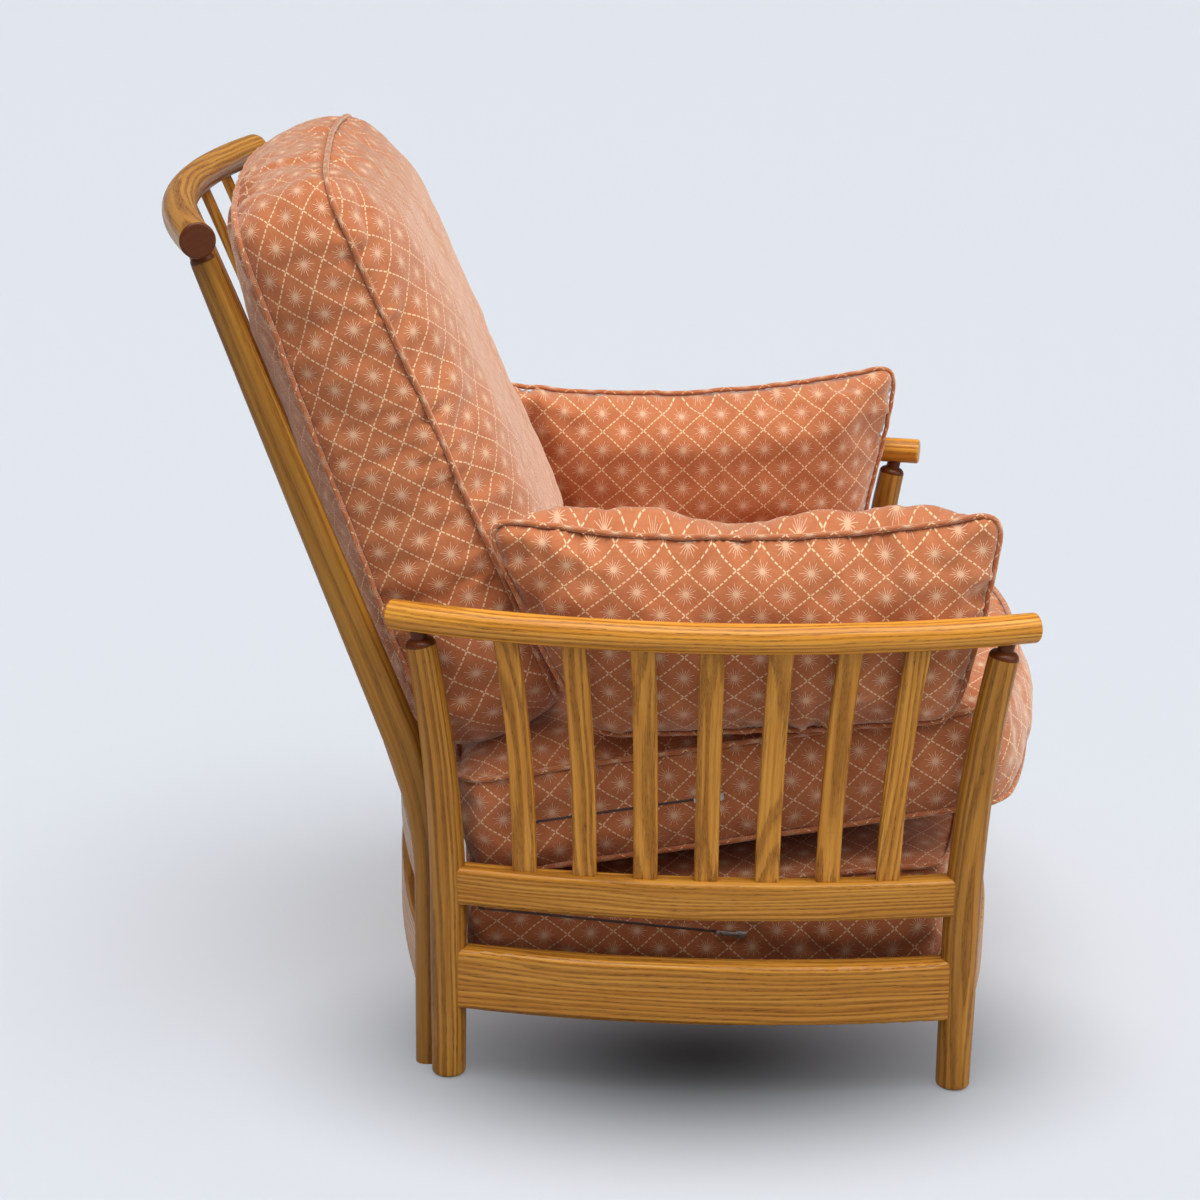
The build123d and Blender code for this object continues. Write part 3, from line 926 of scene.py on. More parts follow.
@dataclass
class Cushion:
    """A cushion's cover: panels of cloth sewn at piped seams, filled and gathered.

    Args:
        name: The piece's name.
        node: The CAD node that it stands for.
        body: The body that it rides on.
        outline: Its plan.
        fill: How tightly it is filled, from 0 to 1; not used.
        cell: The size of a grid cell.
        least_cells: The fewest cells along a side.
        measure_steps: The steps in which a side's length is measured.
        crown_power: How steeply its crowns rise from the seams.
        reach_power: How flat its crowns are in the middle.
        start_share: The share of its crowns' height that it is sewn with.
        room: How far it may swell past its crowns.
        slack: How far it may do so at the seams.
        hold_share: How much of what swells further is pressed back.
        piping_radius: The radius of the piping.
        piping_lift_share: How many radii the piping stands off its seam.
        groove_reach: How near the cover counts as the wall of the piping's groove.
        groove_share: How many radii those walls lift the piping at most.
        seam_crease: How sharp the seams stay when the cover is smoothed.
        mirrored: Whether it is drawn for the left and turned over for the right.
        swelling: How the cover fills.
        gathers: Its puckers.
    """
    name: str
    node: str
    body: str
    outline: Outline = None
    fill: float = 0.75
    cell: float = 0.0085
    least_cells: int = 8
    measure_steps: int = 40
    crown_power: float = 0.74
    reach_power: int = 4
    start_share: float = 0.86
    room: float = 0.004
    slack: float = 0.0005
    hold_share: float = 0.85
    piping_radius: float = 0.0030
    piping_lift_share: float = 0.6
    groove_reach: float = 0.009
    groove_share: float = 0.7
    seam_crease: float = 0.8
    mirrored: bool = False
    swelling: Swelling = field(default_factory=Swelling)
    gathers: Gathers = field(default_factory=Gathers)
    points: np.ndarray = field(default=None, repr=False)
    panels: list = field(default_factory=list, repr=False)
    seams: list = field(default_factory=list, repr=False)
    crown_shares: np.ndarray = field(default=None, repr=False)
    face_count: int = field(default=0, repr=False)
    piece: bpy.types.Object = field(default=None, repr=False)

    def lay_grid(self) -> np.ndarray:
        """Fills the plan with a grid, and finds the crown's height over each of its points.

        Returns:
            The grid.
        """
        sides = [self.outline.side(side, self.measure_steps) for side in (0, 1)]
        lengths = [np.linalg.norm(np.diff(side, axis=0), axis=1).sum() for side in sides]
        cells = [max(self.least_cells, round(length / self.cell)) for length in lengths]
        grid = coons(self.outline, tuple(cells))
        reach = self.outline.reach(grid.reshape(-1, 2))
        self.crown_shares = (1 - reach**self.reach_power) ** self.crown_power
        self.face_count = len(reach)
        return grid

    def pressed(self, points: np.ndarray, place: Place, crown: float, sign: int,
                shares: np.ndarray) -> np.ndarray:
        """Presses a face back where it swells too far past its crown.

        Args:
            points: The face's points.
            place: The place of its seam.
            crown: Its crown's height.
            sign: 1 where it swells along the place's normal, and -1 where it swells against it.
            shares: The share of the crown that each point has.

        Returns:
            The points.
        """
        height = ((points - place.origin) @ place.normal) * sign
        over = np.maximum(0, height - (shares * (crown + self.room) + self.slack))
        return points - (over * sign * self.hold_share)[:, None] * place.normal

    def sew(self) -> None:
        """Fills in the points, panels and seams. Each kind of cushion does it its own way."""
        raise NotImplementedError

    def limit(self, points: np.ndarray) -> np.ndarray:
        """Holds the filled cover to the space that the cushion has."""
        return points

    def make_mesh(self) -> None:
        """Turns the panels into one mesh with a map of the flat cloth."""
        self.sew()
        faces, maps = [], []
        for panel in self.panels:
            rows, columns = panel.index.shape
            for i in range(rows - 1):
                for j in range(columns - 1):
                    around = [(i, j), (i + 1, j), (i + 1, j + 1), (i, j + 1)]
                    if panel.flip != self.mirrored:
                        around.reverse()
                    faces.append([int(panel.index[spot]) for spot in around])
                    maps.extend(panel.cloth[spot] for spot in around)
        if self.mirrored:
            self.points = self.points * (-1, 1, 1)
        mesh = bpy.data.meshes.new(self.name)
        mesh.from_pydata(self.points.tolist(), [], faces)
        layer = mesh.uv_layers.new(name=UV_NAME)
        layer.data.foreach_set("uv", np.array(maps, np.float32).ravel())
        self.piece = bpy.data.objects.new(self.name, mesh)
        bpy.context.scene.collection.objects.link(self.piece)

    def hang_cloth(self) -> None:
        """Adds the cloth simulation, with the seams held where they are sewn."""
        group = self.piece.vertex_groups.new(name="seams")
        group.add([int(index) for index in np.unique(np.concatenate(self.seams))], 1.0, "REPLACE")
        settings = self.piece.modifiers.new("Cloth", "CLOTH").settings
        settings.quality = 6
        settings.mass = 0.25
        settings.tension_stiffness = 30
        settings.compression_stiffness = 12
        settings.shear_stiffness = 6
        settings.bending_stiffness = 0.12
        settings.tension_damping = 12
        settings.compression_damping = 12
        settings.shear_damping = 8
        settings.air_damping = 4
        settings.vertex_group_mass = "seams"
        settings.pin_stiffness = 1.0
        settings.use_pressure = True
        settings.uniform_pressure_force = self.swelling.pressure
        settings.shrink_min = -self.swelling.spare_cloth
        settings.effector_weights.gravity = 0.0

    def take_filled_shape(self) -> None:
        """Keeps the simulated shape, within the most that a point may move."""
        graph = bpy.context.evaluated_depsgraph_get()
        filled = self.piece.evaluated_get(graph).data
        moved = np.zeros(len(filled.vertices) * 3, np.float32)
        filled.vertices.foreach_get("co", moved)
        step = moved.reshape(-1, 3) - self.points
        length = np.linalg.norm(step, axis=1, keepdims=True)
        step *= np.minimum(1.0, self.swelling.most / np.maximum(length, SMALLEST_LENGTH))
        log.info("%s swells %.1f mm at most", self.name, MILLIMETRES * float(length.max()))
        self.piece.modifiers.clear()
        self.piece.vertex_groups.clear()
        self.points = self.limit(self.points + step)
        self.write_points()

    def write_points(self) -> None:
        """Writes the points to the mesh."""
        self.piece.data.vertices.foreach_set("co", self.points.astype(np.float32).ravel())
        self.piece.data.update()

    def smooth(self) -> None:
        """Adds one subdivision, with the seams kept crisp."""
        mesh = self.piece.data
        sewn = set()
        for seam in self.seams:
            for start, end in zip(seam, np.roll(seam, -1)):
                sewn.add((min(start, end), max(start, end)))
        crease = mesh.attributes.new("crease_edge", "FLOAT", "EDGE")
        for edge in mesh.edges:
            if tuple(sorted(edge.vertices)) in sewn:
                crease.data[edge.index].value = self.seam_crease
        divide = self.piece.modifiers.new("Smooth", "SUBSURF")
        divide.levels = divide.render_levels = 1
        bpy.ops.object.select_all(action="DESELECT")
        bpy.context.view_layer.objects.active = self.piece
        self.piece.select_set(True)
        bpy.ops.object.modifier_apply(modifier=divide.name)
        bpy.ops.object.shade_smooth()

    def gather(self) -> None:
        """Puckers the cover near its seams."""
        mesh = self.piece.data
        count = len(mesh.vertices)
        places = np.zeros(count * 3, np.float32)
        normals = np.zeros(count * 3, np.float32)
        mesh.vertices.foreach_get("co", places)
        mesh.vertices.foreach_get("normal", normals)
        places, normals = places.reshape(-1, 3), normals.reshape(-1, 3)
        folds = self.gathers
        rng = np.random.default_rng(folds.seed)
        offset = Vector(rng.uniform(0, folds.noise_span, 3))
        rate = folds.dimple_rate
        dimples = [noise.noise(Vector(point) * rate + offset) + folds.fine_share
                   * noise.noise(Vector(point) * rate * folds.fine_rate + offset)
                   for point in places]
        lift = np.zeros(count)
        nearest_seam = np.full(count, np.inf)
        for seam in self.seams:
            line = self.points[seam]
            run = np.linalg.norm(line - np.roll(line, -1, axis=0), axis=1)
            along = np.concatenate([[0], np.cumsum(run)[:-1]])
            waves = max(folds.least_waves, round(run.sum() / folds.pitch))
            heights = rng.uniform(-1, 1, waves)
            heights *= np.abs(heights) ** folds.contrast
            strengths = rng.uniform(*folds.strength_range,
                                    max(folds.least_strengths, waves // folds.waves_per_strength))
            tree = KDTree(len(seam))
            for number, point in enumerate(line):
                tree.insert(point, number)
            tree.balance()
            nearest = [tree.find(point) for point in places]
            gap = np.array([found[2] for found in nearest])
            spot = along[[found[1] for found in nearest]] / run.sum()
            wave = np.interp(spot * waves, np.arange(waves), heights, period=waves)
            broad = np.interp(spot * len(strengths), np.arange(len(strengths)), strengths,
                              period=len(strengths))
            swell = np.exp(-gap / folds.reach) * np.clip(gap / folds.seam_margin, 0, 1)
            lift += wave * broad * swell * folds.depth
            nearest_seam = np.minimum(nearest_seam, gap)
        lift += dimples * np.clip(nearest_seam / folds.dimple_margin, 0, 1) * folds.dimple_depth
        lift *= self.loose_share(places)
        places = places + normals * lift[:, None]
        mesh.vertices.foreach_set("co", places.astype(np.float32).ravel())
        mesh.update()

    def loose_share(self, points: np.ndarray) -> np.ndarray:
        """How free the cover is to pucker at each point."""
        return np.ones(len(points))

    def piping(self) -> None:
        """Sews a piping along every seam, as part of the cover."""
        mesh = self.piece.data
        cover = KDTree(len(mesh.vertices))
        for vertex in mesh.vertices:
            cover.insert(vertex.co, vertex.index)
        cover.balance()
        tubes = []
        for number, seam in enumerate(self.seams):
            line = np.array([mesh.vertices[int(index)].co for index in seam])
            outwards = np.array([mesh.vertices[int(index)].normal for index in seam])
            walls = [max((place - Vector(point)).dot(Vector(out))
                         for place, _, _ in cover.find_range(point, self.groove_reach))
                     for point, out in zip(line, outwards)]
            rise = np.clip(walls, 0, self.piping_radius * self.groove_share)
            rise = rise + self.piping_radius * self.piping_lift_share
            line = line + outwards * rise[:, None]
            tubes.append(piping_tube(f"{self.name}_piping_{number}", line, outwards,
                                     self.piping_radius))
        bpy.ops.object.select_all(action="DESELECT")
        for tube in tubes:
            tube.select_set(True)
        self.piece.select_set(True)
        bpy.context.view_layer.objects.active = self.piece
        bpy.ops.object.join()

    def dress(self, cloth: bpy.types.Material) -> None:
        """Gives the cover its cloth, ties it to its body and hides the node that it stands for."""
        self.piece.data.materials.clear()
        self.piece.data.materials.append(cloth)
        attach(self.piece, self.body)
        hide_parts(self.node)
        log.info("%s: %d faces", self.name, len(self.piece.data.polygons))


def piping_tube(name: str, line: np.ndarray, outwards: np.ndarray,
                radius: float) -> bpy.types.Object:
    """Makes a closed tube of cloth along a seam.

    Args:
        name: The tube's name.
        line: The seam's points, in order.
        outwards: The cover's normals there.
        radius: The tube's radius.

    Returns:
        The tube.
    """
    sides, between, smoothings = 8, 2, 2
    count = len(line)
    share = np.arange(count * between) / between
    low = share.astype(int)
    part = (share - low)[:, None]
    path = line[low] * (1 - part) + line[(low + 1) % count] * part
    for _ in range(smoothings):
        path = 0.5 * path + 0.25 * (np.roll(path, 1, 0) + np.roll(path, -1, 0))
    out = outwards[low] * (1 - part) + outwards[(low + 1) % count] * part
    tangent = np.roll(path, -1, 0) - np.roll(path, 1, 0)
    tangent /= np.linalg.norm(tangent, axis=1, keepdims=True)
    out = out - tangent * (out * tangent).sum(1, keepdims=True)
    out /= np.linalg.norm(out, axis=1, keepdims=True)
    across = np.cross(tangent, out)
    turns = np.arange(sides) * math.tau / sides
    rings = (path[:, None] + radius * (np.cos(turns)[None, :, None] * out[:, None]
                                       + np.sin(turns)[None, :, None] * across[:, None]))
    run = np.linalg.norm(np.roll(path, -1, 0) - path, axis=1)
    along = np.concatenate([[0], np.cumsum(run)])
    total = len(path)
    faces, maps = [], []
    for i in range(total):
        for j in range(sides):
            after, beside = (i + 1) % total, (j + 1) % sides
            faces.append([i * sides + j, after * sides + j,
                          after * sides + beside, i * sides + beside])
            low_v, high_v = (math.tau * radius * k / sides for k in (j, j + 1))
            maps += [(along[i], low_v), (along[i + 1], low_v),
                     (along[i + 1], high_v), (along[i], high_v)]
    mesh = bpy.data.meshes.new(name)
    mesh.from_pydata(rings.reshape(-1, 3).tolist(), [], faces)
    layer = mesh.uv_layers.new(name=UV_NAME)
    layer.data.foreach_set("uv", np.array(maps, np.float32).ravel())
    tube = bpy.data.objects.new(name, mesh)
    bpy.context.scene.collection.objects.link(tube)
    bpy.ops.object.select_all(action="DESELECT")
    tube.select_set(True)
    bpy.context.view_layer.objects.active = tube
    bpy.ops.object.mode_set(mode="EDIT")
    bpy.ops.mesh.select_all(action="SELECT")
    bpy.ops.mesh.normals_make_consistent(inside=False)
    bpy.ops.object.mode_set(mode="OBJECT")
    bpy.ops.object.shade_smooth()
    return tube


def coons(outline: Outline, cells: tuple[int, int]) -> np.ndarray:
    """Fills an outline with a grid of points.

    Args:
        outline: The plan.
        cells: The steps along its first and second sides.

    Returns:
        The grid, one point more than the steps each way.
    """
    front, right = outline.side(0, cells[0]), outline.side(1, cells[1])
    rear, left = outline.side(2, cells[0])[::-1], outline.side(3, cells[1])[::-1]
    u = np.linspace(0, 1, cells[0] + 1)[:, None, None]
    v = np.linspace(0, 1, cells[1] + 1)[None, :, None]
    ruled = (1 - v) * front[:, None] + v * rear[:, None] + (1 - u) * left[None] + u * right[None]
    flat = ((1 - u) * (1 - v) * front[0] + u * (1 - v) * front[-1]
            + (1 - u) * v * rear[0] + u * v * rear[-1])
    return ruled - flat


def rim(shape: tuple[int, int]) -> tuple[np.ndarray, np.ndarray]:
    """The rows and columns of a grid's border, in order round it.

    Args:
        shape: How many rows and columns the grid has.

    Returns:
        The rows, and the columns.
    """
    last_i, last_j = shape[0] - 1, shape[1] - 1
    spots = ([(i, 0) for i in range(last_i)] + [(last_i, j) for j in range(last_j)]
             + [(i, last_j) for i in range(last_i, 0, -1)]
             + [(0, j) for j in range(last_j, 0, -1)])
    rows, columns = zip(*spots)
    return np.array(rows), np.array(columns)


@dataclass
class BoxedCushion(Cushion):
    """A cushion of two crowned faces and a border between two piped seams.

    Args:
        low: The place of its lower seam.
        high: The place of its upper seam.
        middle: The place of its border's middle.
        low_crown: How far its lower face swells.
        high_crown: How far its upper face swells.
        bulge: How far its border swells.
        least_border_cells: The fewest cells across its border.
        low_shift: Where the lower face lies on the pattern.
        border_shift: Where the border lies on the pattern.
        zip_line: The two ends of a zip in its border, or None.
        zip_strip: How far from the zip's line the border is drawn in at all.
        zip_strip_fade: Over how much of that it eases off.
        zip_end: How far past the zip's ends it is drawn in at all.
        zip_end_fade: Over how much of that it eases off.
        zip_reach: How far a point is drawn in at most.
    """
    low: Place = None
    high: Place = None
    middle: Place = None
    low_crown: float = 0.0
    high_crown: float = 0.03
    bulge: float = 0.008
    least_border_cells: int = 4
    low_shift: tuple = (0.013, 0.021)
    border_shift: tuple = (0.007, 0.004)
    zip_line: tuple = None
    zip_strip: float = 0.030
    zip_strip_fade: float = 0.021
    zip_end: float = 0.035
    zip_end_fade: float = 0.028
    zip_reach: float = 0.05

    def sew(self) -> None:
        """Lays out both faces and the border, and welds them at the seams."""
        grid = self.lay_grid()
        flat = grid.reshape(-1, 2)
        count = self.face_count
        faces_index = np.arange(count).reshape(grid.shape[:2])
        high = self.high.points(flat, self.crown_shares * self.high_crown * self.start_share)
        low = self.low.points(flat, -self.crown_shares * self.low_crown * self.start_share)
        rows, columns = rim(grid.shape[:2])
        edge = grid[rows, columns]
        depth = float(np.linalg.norm(self.high.origin - self.low.origin))
        steps = max(self.least_border_cells, round(depth / self.cell))
        half = np.abs(self.outline.corners[0][0])
        wide = edge * (1 + self.bulge * self.start_share / half)
        ring_low = self.low.points(edge)
        ring_mid = self.middle.points(wide)
        ring_high = self.high.points(edge)
        rings = []
        for step in range(1, steps):
            t = step / steps
            rings.append(ring_low * (1 - t) * (1 - 2 * t) + ring_mid * 4 * t * (1 - t)
                         + ring_high * t * (2 * t - 1))
        around = len(edge)
        self.points = np.vstack([high, low] + rings)
        border = np.zeros((around + 1, steps + 1), int)
        border[:-1, 0] = faces_index[rows, columns] + count
        border[:-1, -1] = faces_index[rows, columns]
        for step in range(1, steps):
            border[:-1, step] = 2 * count + (step - 1) * around + np.arange(around)
        border[-1] = border[0]
        run = np.concatenate([[0], np.cumsum(
            np.linalg.norm(np.roll(edge, -1, 0) - edge, axis=1))])
        tall = np.linspace(0, depth, steps + 1)
        border_cloth = np.stack(np.broadcast_arrays(run[:, None], tall[None]), -1)
        self.panels = [
            Panel(faces_index, grid),
            Panel(faces_index + count, grid * (1, -1) + self.low_shift, flip=True),
            Panel(border, border_cloth + self.border_shift),
        ]
        self.seams = [border[:-1, -1], border[:-1, 0]]
        if self.zip_line is not None:
            self.flatten_for_zip(self.points)

    def flatten_for_zip(self, points: np.ndarray) -> None:
        """Draws the border in along the zip, where its tape is stiff.

        Args:
            points: The cover's points, which are changed in place.
        """
        start, end = (np.array(point) for point in self.zip_line)
        run = unit(end - start)
        ring = points[2 * self.face_count:]
        near, along = self.zip_share(ring)
        wanted = start[0] + run[0] * along
        close = np.abs(wanted - ring[:, 0]) < self.zip_reach
        ring[:, 0] += (wanted - ring[:, 0]) * near * close

    def zip_share(self, points: np.ndarray) -> tuple[np.ndarray, np.ndarray]:
        """How far each point belongs to the flat strip along the zip, and where along it.

        Args:
            points: Points of the cover.

        Returns:
            A share for each, from 0 to 1, and how far along the zip it lies.
        """
        start, end = (np.array(point) for point in self.zip_line)
        run = unit(end - start)
        length = float(np.linalg.norm(end - start))
        offset = points - start
        along = offset @ run
        aside = np.abs((offset - along[:, None] * run)[:, 2])
        beside = np.maximum(0, np.maximum(-along, along - length))
        share = (np.clip((self.zip_strip - aside) / self.zip_strip_fade, 0, 1)
                 * np.clip((self.zip_end - beside) / self.zip_end_fade, 0, 1))
        return share * share * (3 - 2 * share) * (points[:, 0] < 0), along

    def loose_share(self, points: np.ndarray) -> np.ndarray:
        """How free the cover is to pucker: not at all at a zip."""
        return 1 - self.zip_share(points)[0] if self.zip_line else np.ones(len(points))

    def limit(self, points: np.ndarray) -> np.ndarray:
        """Keeps both faces within their crowns and a little room.

        Args:
            points: The filled cover's points.

        Returns:
            The points that it keeps.
        """
        count = self.face_count
        faces = ((slice(0, count), self.high, self.high_crown, 1),
                 (slice(count, 2 * count), self.low, self.low_crown, -1))
        for span, place, crown, sign in faces:
            points[span] = self.pressed(points[span], place, crown, sign, self.crown_shares)
        if self.zip_line is not None:
            self.flatten_for_zip(points)
        return points


@dataclass
class KnifeEdgeCushion(Cushion):
    """A pillow of two crowned faces that meet at one piped seam.

    Args:
        place: The place of its seam.
        outer_crown: How far the face towards the arm swells.
        inner_crown: How far the face towards the sitter swells.
        top_roll: How far the inner face puffs up above the seam.
        roll_fall: How soon the puffing dies away downwards.
        roll_width: How far to the ends it goes on.
        inner_shift: Where the inner face lies on the pattern.
    """
    place: Place = None
    outer_crown: float = 0.038
    inner_crown: float = 0.062
    crown_power: float = 0.69
    start_share: float = 0.84
    top_roll: float = 0.020
    roll_fall: int = 2
    roll_width: int = 4
    inner_shift: tuple = (0.011, 0.017)
    inside: np.ndarray = field(default=None, repr=False)

    def sew(self) -> None:
        """Lays out both faces and welds them round their rim."""
        grid = self.lay_grid()
        flat = grid.reshape(-1, 2)
        count = self.face_count
        index = np.arange(count).reshape(grid.shape[:2])
        outer = self.place.points(flat, self.crown_shares * self.outer_crown * self.start_share)
        inner = self.place.points(flat, -self.crown_shares * self.inner_crown * self.start_share)
        rows, columns = rim(grid.shape[:2])
        on_rim = np.zeros(grid.shape[:2], bool)
        on_rim[rows, columns] = True
        inside = ~on_rim.reshape(-1)
        inner_index = index.copy()
        inner_index[~on_rim] = count + np.arange(inside.sum())
        upper = np.linspace(1, 0, grid.shape[1]) ** self.roll_fall
        middling = 1 - np.linspace(-1, 1, grid.shape[0]) ** self.roll_width
        inner[:, 2] += self.top_roll * self.crown_shares * np.outer(middling, upper).ravel()
        self.points = np.vstack([outer, inner[inside]])
        self.inside = inside
        self.panels = [Panel(index, grid),
                       Panel(inner_index, grid * (-1, 1) + self.inner_shift, flip=True)]
        self.seams = [index[rows, columns]]

    def limit(self, points: np.ndarray) -> np.ndarray:
        """Keeps both faces within their crowns and a little room.

        Args:
            points: The filled cover's points.

        Returns:
            The points that it keeps.
        """
        flipped = points * (-1, 1, 1) if self.mirrored else points
        count = self.face_count
        faces = ((slice(0, count), self.outer_crown, 1, self.crown_shares),
                 (slice(count, len(points)), self.inner_crown, -1, self.crown_shares[self.inside]))
        for span, crown, sign, shares in faces:
            flipped[span] = self.pressed(flipped[span], self.place, crown, sign, shares)
        return flipped * (-1, 1, 1) if self.mirrored else flipped


@dataclass(frozen=True)
class Layout:
    """Where the side frames and the back stand.

    Args:
        origin_y: Where the side frames' middle lies along the chair.
        side_offset: How far the side frames stand from the chair's middle.
        toe: How far the side frames turn in towards the rear, in radians.
        rake: How far the back leans to the rear, in radians.
    """
    origin_y: float
    side_offset: float = 0.3555
    toe: float = math.radians(4.3)
    rake: float = math.radians(21)


@dataclass
class Upholstery:
    """The five cushions, in the sizes of the frame's own soft solids.

    Args:
        layout: Where the side frames and the back stand.
        seat_tilt: How far the seat tilts up to the front, in radians.
        pull_in: How far the cushions' sides bow out, less than 0 as they are drawn in.
        top_rolls: How far each side pillow puffs up above its seam.
    """
    layout: Layout
    seat_tilt: float = math.radians(9.2)
    pull_in: float = -0.003
    top_rolls: dict = field(default_factory=lambda: {"left": 0.020, "right": 0.070})

    def tilted(self, center_y: float, center_z: float, lean: float) -> Place:
        """A place whose normal leans to the rear by an angle."""
        origin = (0, center_y + self.layout.origin_y, center_z)
        return Place.facing(origin, (1, 0, 0), (0, math.sin(lean), math.cos(lean)))

    def tapered(self, front_half: float, rear_half: float, front: float, rear: float,
                front_bow: float, rear_bow: float, rounding: float) -> Outline:
        """A plan that narrows to the rear.

        Args:
            front_half: Half its width at the front.
            rear_half: Half its width at the rear.
            front: Where its front edge lies.
            rear: Where its rear edge lies.
            front_bow: How far its front edge bows out.
            rear_bow: How far its rear edge bows out.
            rounding: Its corners' rounding.

        Returns:
            The plan.
        """
        corners = ((-front_half, front), (front_half, front), (rear_half, rear),
                   (-rear_half, rear))
        return Outline(corners, (front_bow, self.pull_in, rear_bow, self.pull_in), rounding)

    def base(self) -> BoxedCushion:
        """The wedge that lies on the webbing.

        Returns:
            The cushion.
        """
        front, rear = -0.252, 0.243
        middle_y, half_depth = (front + rear) / 2, (rear - front) / 2
        front_height, rear_height, floor_height = 0.238, 0.185, 0.1215
        lean = math.asin((front_height - rear_height) / (2 * half_depth))
        top = (front_height + rear_height) / 2
        outline = self.tapered(front_half=0.343, rear_half=0.319, front=-half_depth,
                               rear=half_depth, front_bow=0.058, rear_bow=0.002, rounding=0.022)
        return BoxedCushion(
            name="base_cushion_cover", node="base_cushion", body=FRAME_BODY, fill=0.8,
            outline=outline, low=self.tilted(middle_y, floor_height, 0),
            middle=self.tilted(middle_y, (floor_height + top) / 2, lean / 2),
            high=self.tilted(middle_y, top, lean), high_crown=0.0139, bulge=0.001,
            zip_line=Zip.of("base_zip").surface_line(), room=0.0015,
            gathers=Gathers(depth=0.0020, dimple_depth=0.0010, seed=3))

    def seat(self) -> BoxedCushion:
        """The thick seat, tilted up to the front.

        Returns:
            The cushion.
        """
        border = 0.104
        place = self.tilted(center_y=0.010, center_z=0.3095, lean=self.seat_tilt)
        outline = self.tapered(front_half=0.343, rear_half=0.321, front=-0.317, rear=0.240,
                               front_bow=0.072, rear_bow=0.002, rounding=0.034)
        return BoxedCushion(
            name="seat_cushion_cover", node="seat_cushion", body="seat_cushion", fill=0.85,
            outline=outline, low=place.raised(-border / 2), middle=place,
            high=place.raised(border / 2), low_crown=0.025, high_crown=0.033,
            zip_line=Zip.of("seat_zip").surface_line(),
            gathers=Gathers(depth=0.0060, dimple_depth=0.0040, seed=5))

    def back(self) -> BoxedCushion:
        """The deep back cushion, laid along the rake.

        Returns:
            The cushion.
        """
        bottom, top, half_width = 0.4217, 1.008, 0.292
        middle, half = (bottom + top) / 2, (top - bottom) / 2
        outline = self.tapered(front_half=half_width, rear_half=half_width, front=-half,
                               rear=half, front_bow=0.008, rear_bow=0.022, rounding=0.046)

        def on_rake(setback: float, lean: float) -> Place:
            """A place behind the rake's datum plane, facing forwards.

            Args:
                setback: How far behind it.
                lean: How far it leans past the rake, in degrees.

            Returns:
                The place.
            """
            sine, cosine = math.sin(self.layout.rake), math.cos(self.layout.rake)
            origin = (0, middle * sine + setback * cosine + self.layout.origin_y,
                      middle * cosine - setback * sine)
            facing = self.layout.rake + math.radians(lean)
            return Place.facing(origin, (1, 0, 0), (0, -math.cos(facing), math.sin(facing)))

        rear_setback, front_setback, rear_lean, front_lean = 0.128, 0.012, 1.2, 2.6
        return BoxedCushion(
            name="back_cushion_cover", node="back_cushion", body="back_cushion", fill=0.8,
            outline=outline, low=on_rake(rear_setback, -rear_lean),
            high=on_rake(front_setback, front_lean),
            middle=on_rake((rear_setback + front_setback) / 2, (front_lean - rear_lean) / 2),
            low_crown=0.034, high_crown=0.056, room=0.003,
            swelling=Swelling(spare_cloth=0.045),
            gathers=Gathers(depth=0.0095, pitch=0.011, seed=7))

    def side(self, hand: str) -> KnifeEdgeCushion:
        """One of the pillows under the arms.

        Args:
            hand: Left or right.

        Returns:
            The pillow.
        """
        corners = ((0.228, 0.606), (-0.288, 0.622), (-0.248, 0.4031), (0.118, 0.380))
        middle_y = sum(y for y, _ in corners) / 4
        middle_z = sum(z for _, z in corners) / 4
        inset = 0.022
        seeds = {"left": 11, "right": 12}
        outline = Outline(corners=tuple((y - middle_y, z - middle_z) for y, z in corners),
                          bows=(-0.024, 0.004, 0.002, 0.008), rounding=0.020)
        sine, cosine = math.sin(self.layout.toe), math.cos(self.layout.toe)
        origin = (self.layout.side_offset - inset * cosine - middle_y * sine,
                  middle_y * cosine - inset * sine + self.layout.origin_y, middle_z)
        place = Place.facing(origin, (-sine, cosine, 0), (cosine, sine, 0))
        node = f"arm_cushion_{hand}"
        return KnifeEdgeCushion(
            name=f"{node}_cover", node=node, body=node, fill=0.7, mirrored=hand == "right",
            outline=outline, place=place,
            swelling=Swelling(spare_cloth=0.04),
            top_roll=self.top_rolls[hand],
            gathers=Gathers(depth=0.0105, reach=0.034, pitch=0.012, dimple_depth=0.0065,
                            seed=seeds[hand]))

    def build(self, cloth: bpy.types.Material) -> list[Cushion]:
        """Makes all the cushions.

        Args:
            cloth: Their cloth.

        Returns:
            The cushions.
        """
        cushions = [self.base(), self.seat(), self.back(), self.side("left"), self.side("right")]
        for cushion in cushions:
            cushion.make_mesh()
        for cushion in cushions:
            cushion.hang_cloth()
        scene = bpy.context.scene
        frames = max(cushion.swelling.frames for cushion in cushions)
        for number in range(1, frames + 1):
            scene.frame_set(number)
        for cushion in cushions:
            cushion.take_filled_shape()
        scene.frame_set(1)
        for cushion in cushions:
            cushion.smooth()
            cushion.gather()
            cushion.piping()
            cushion.dress(cloth)
        return cushions


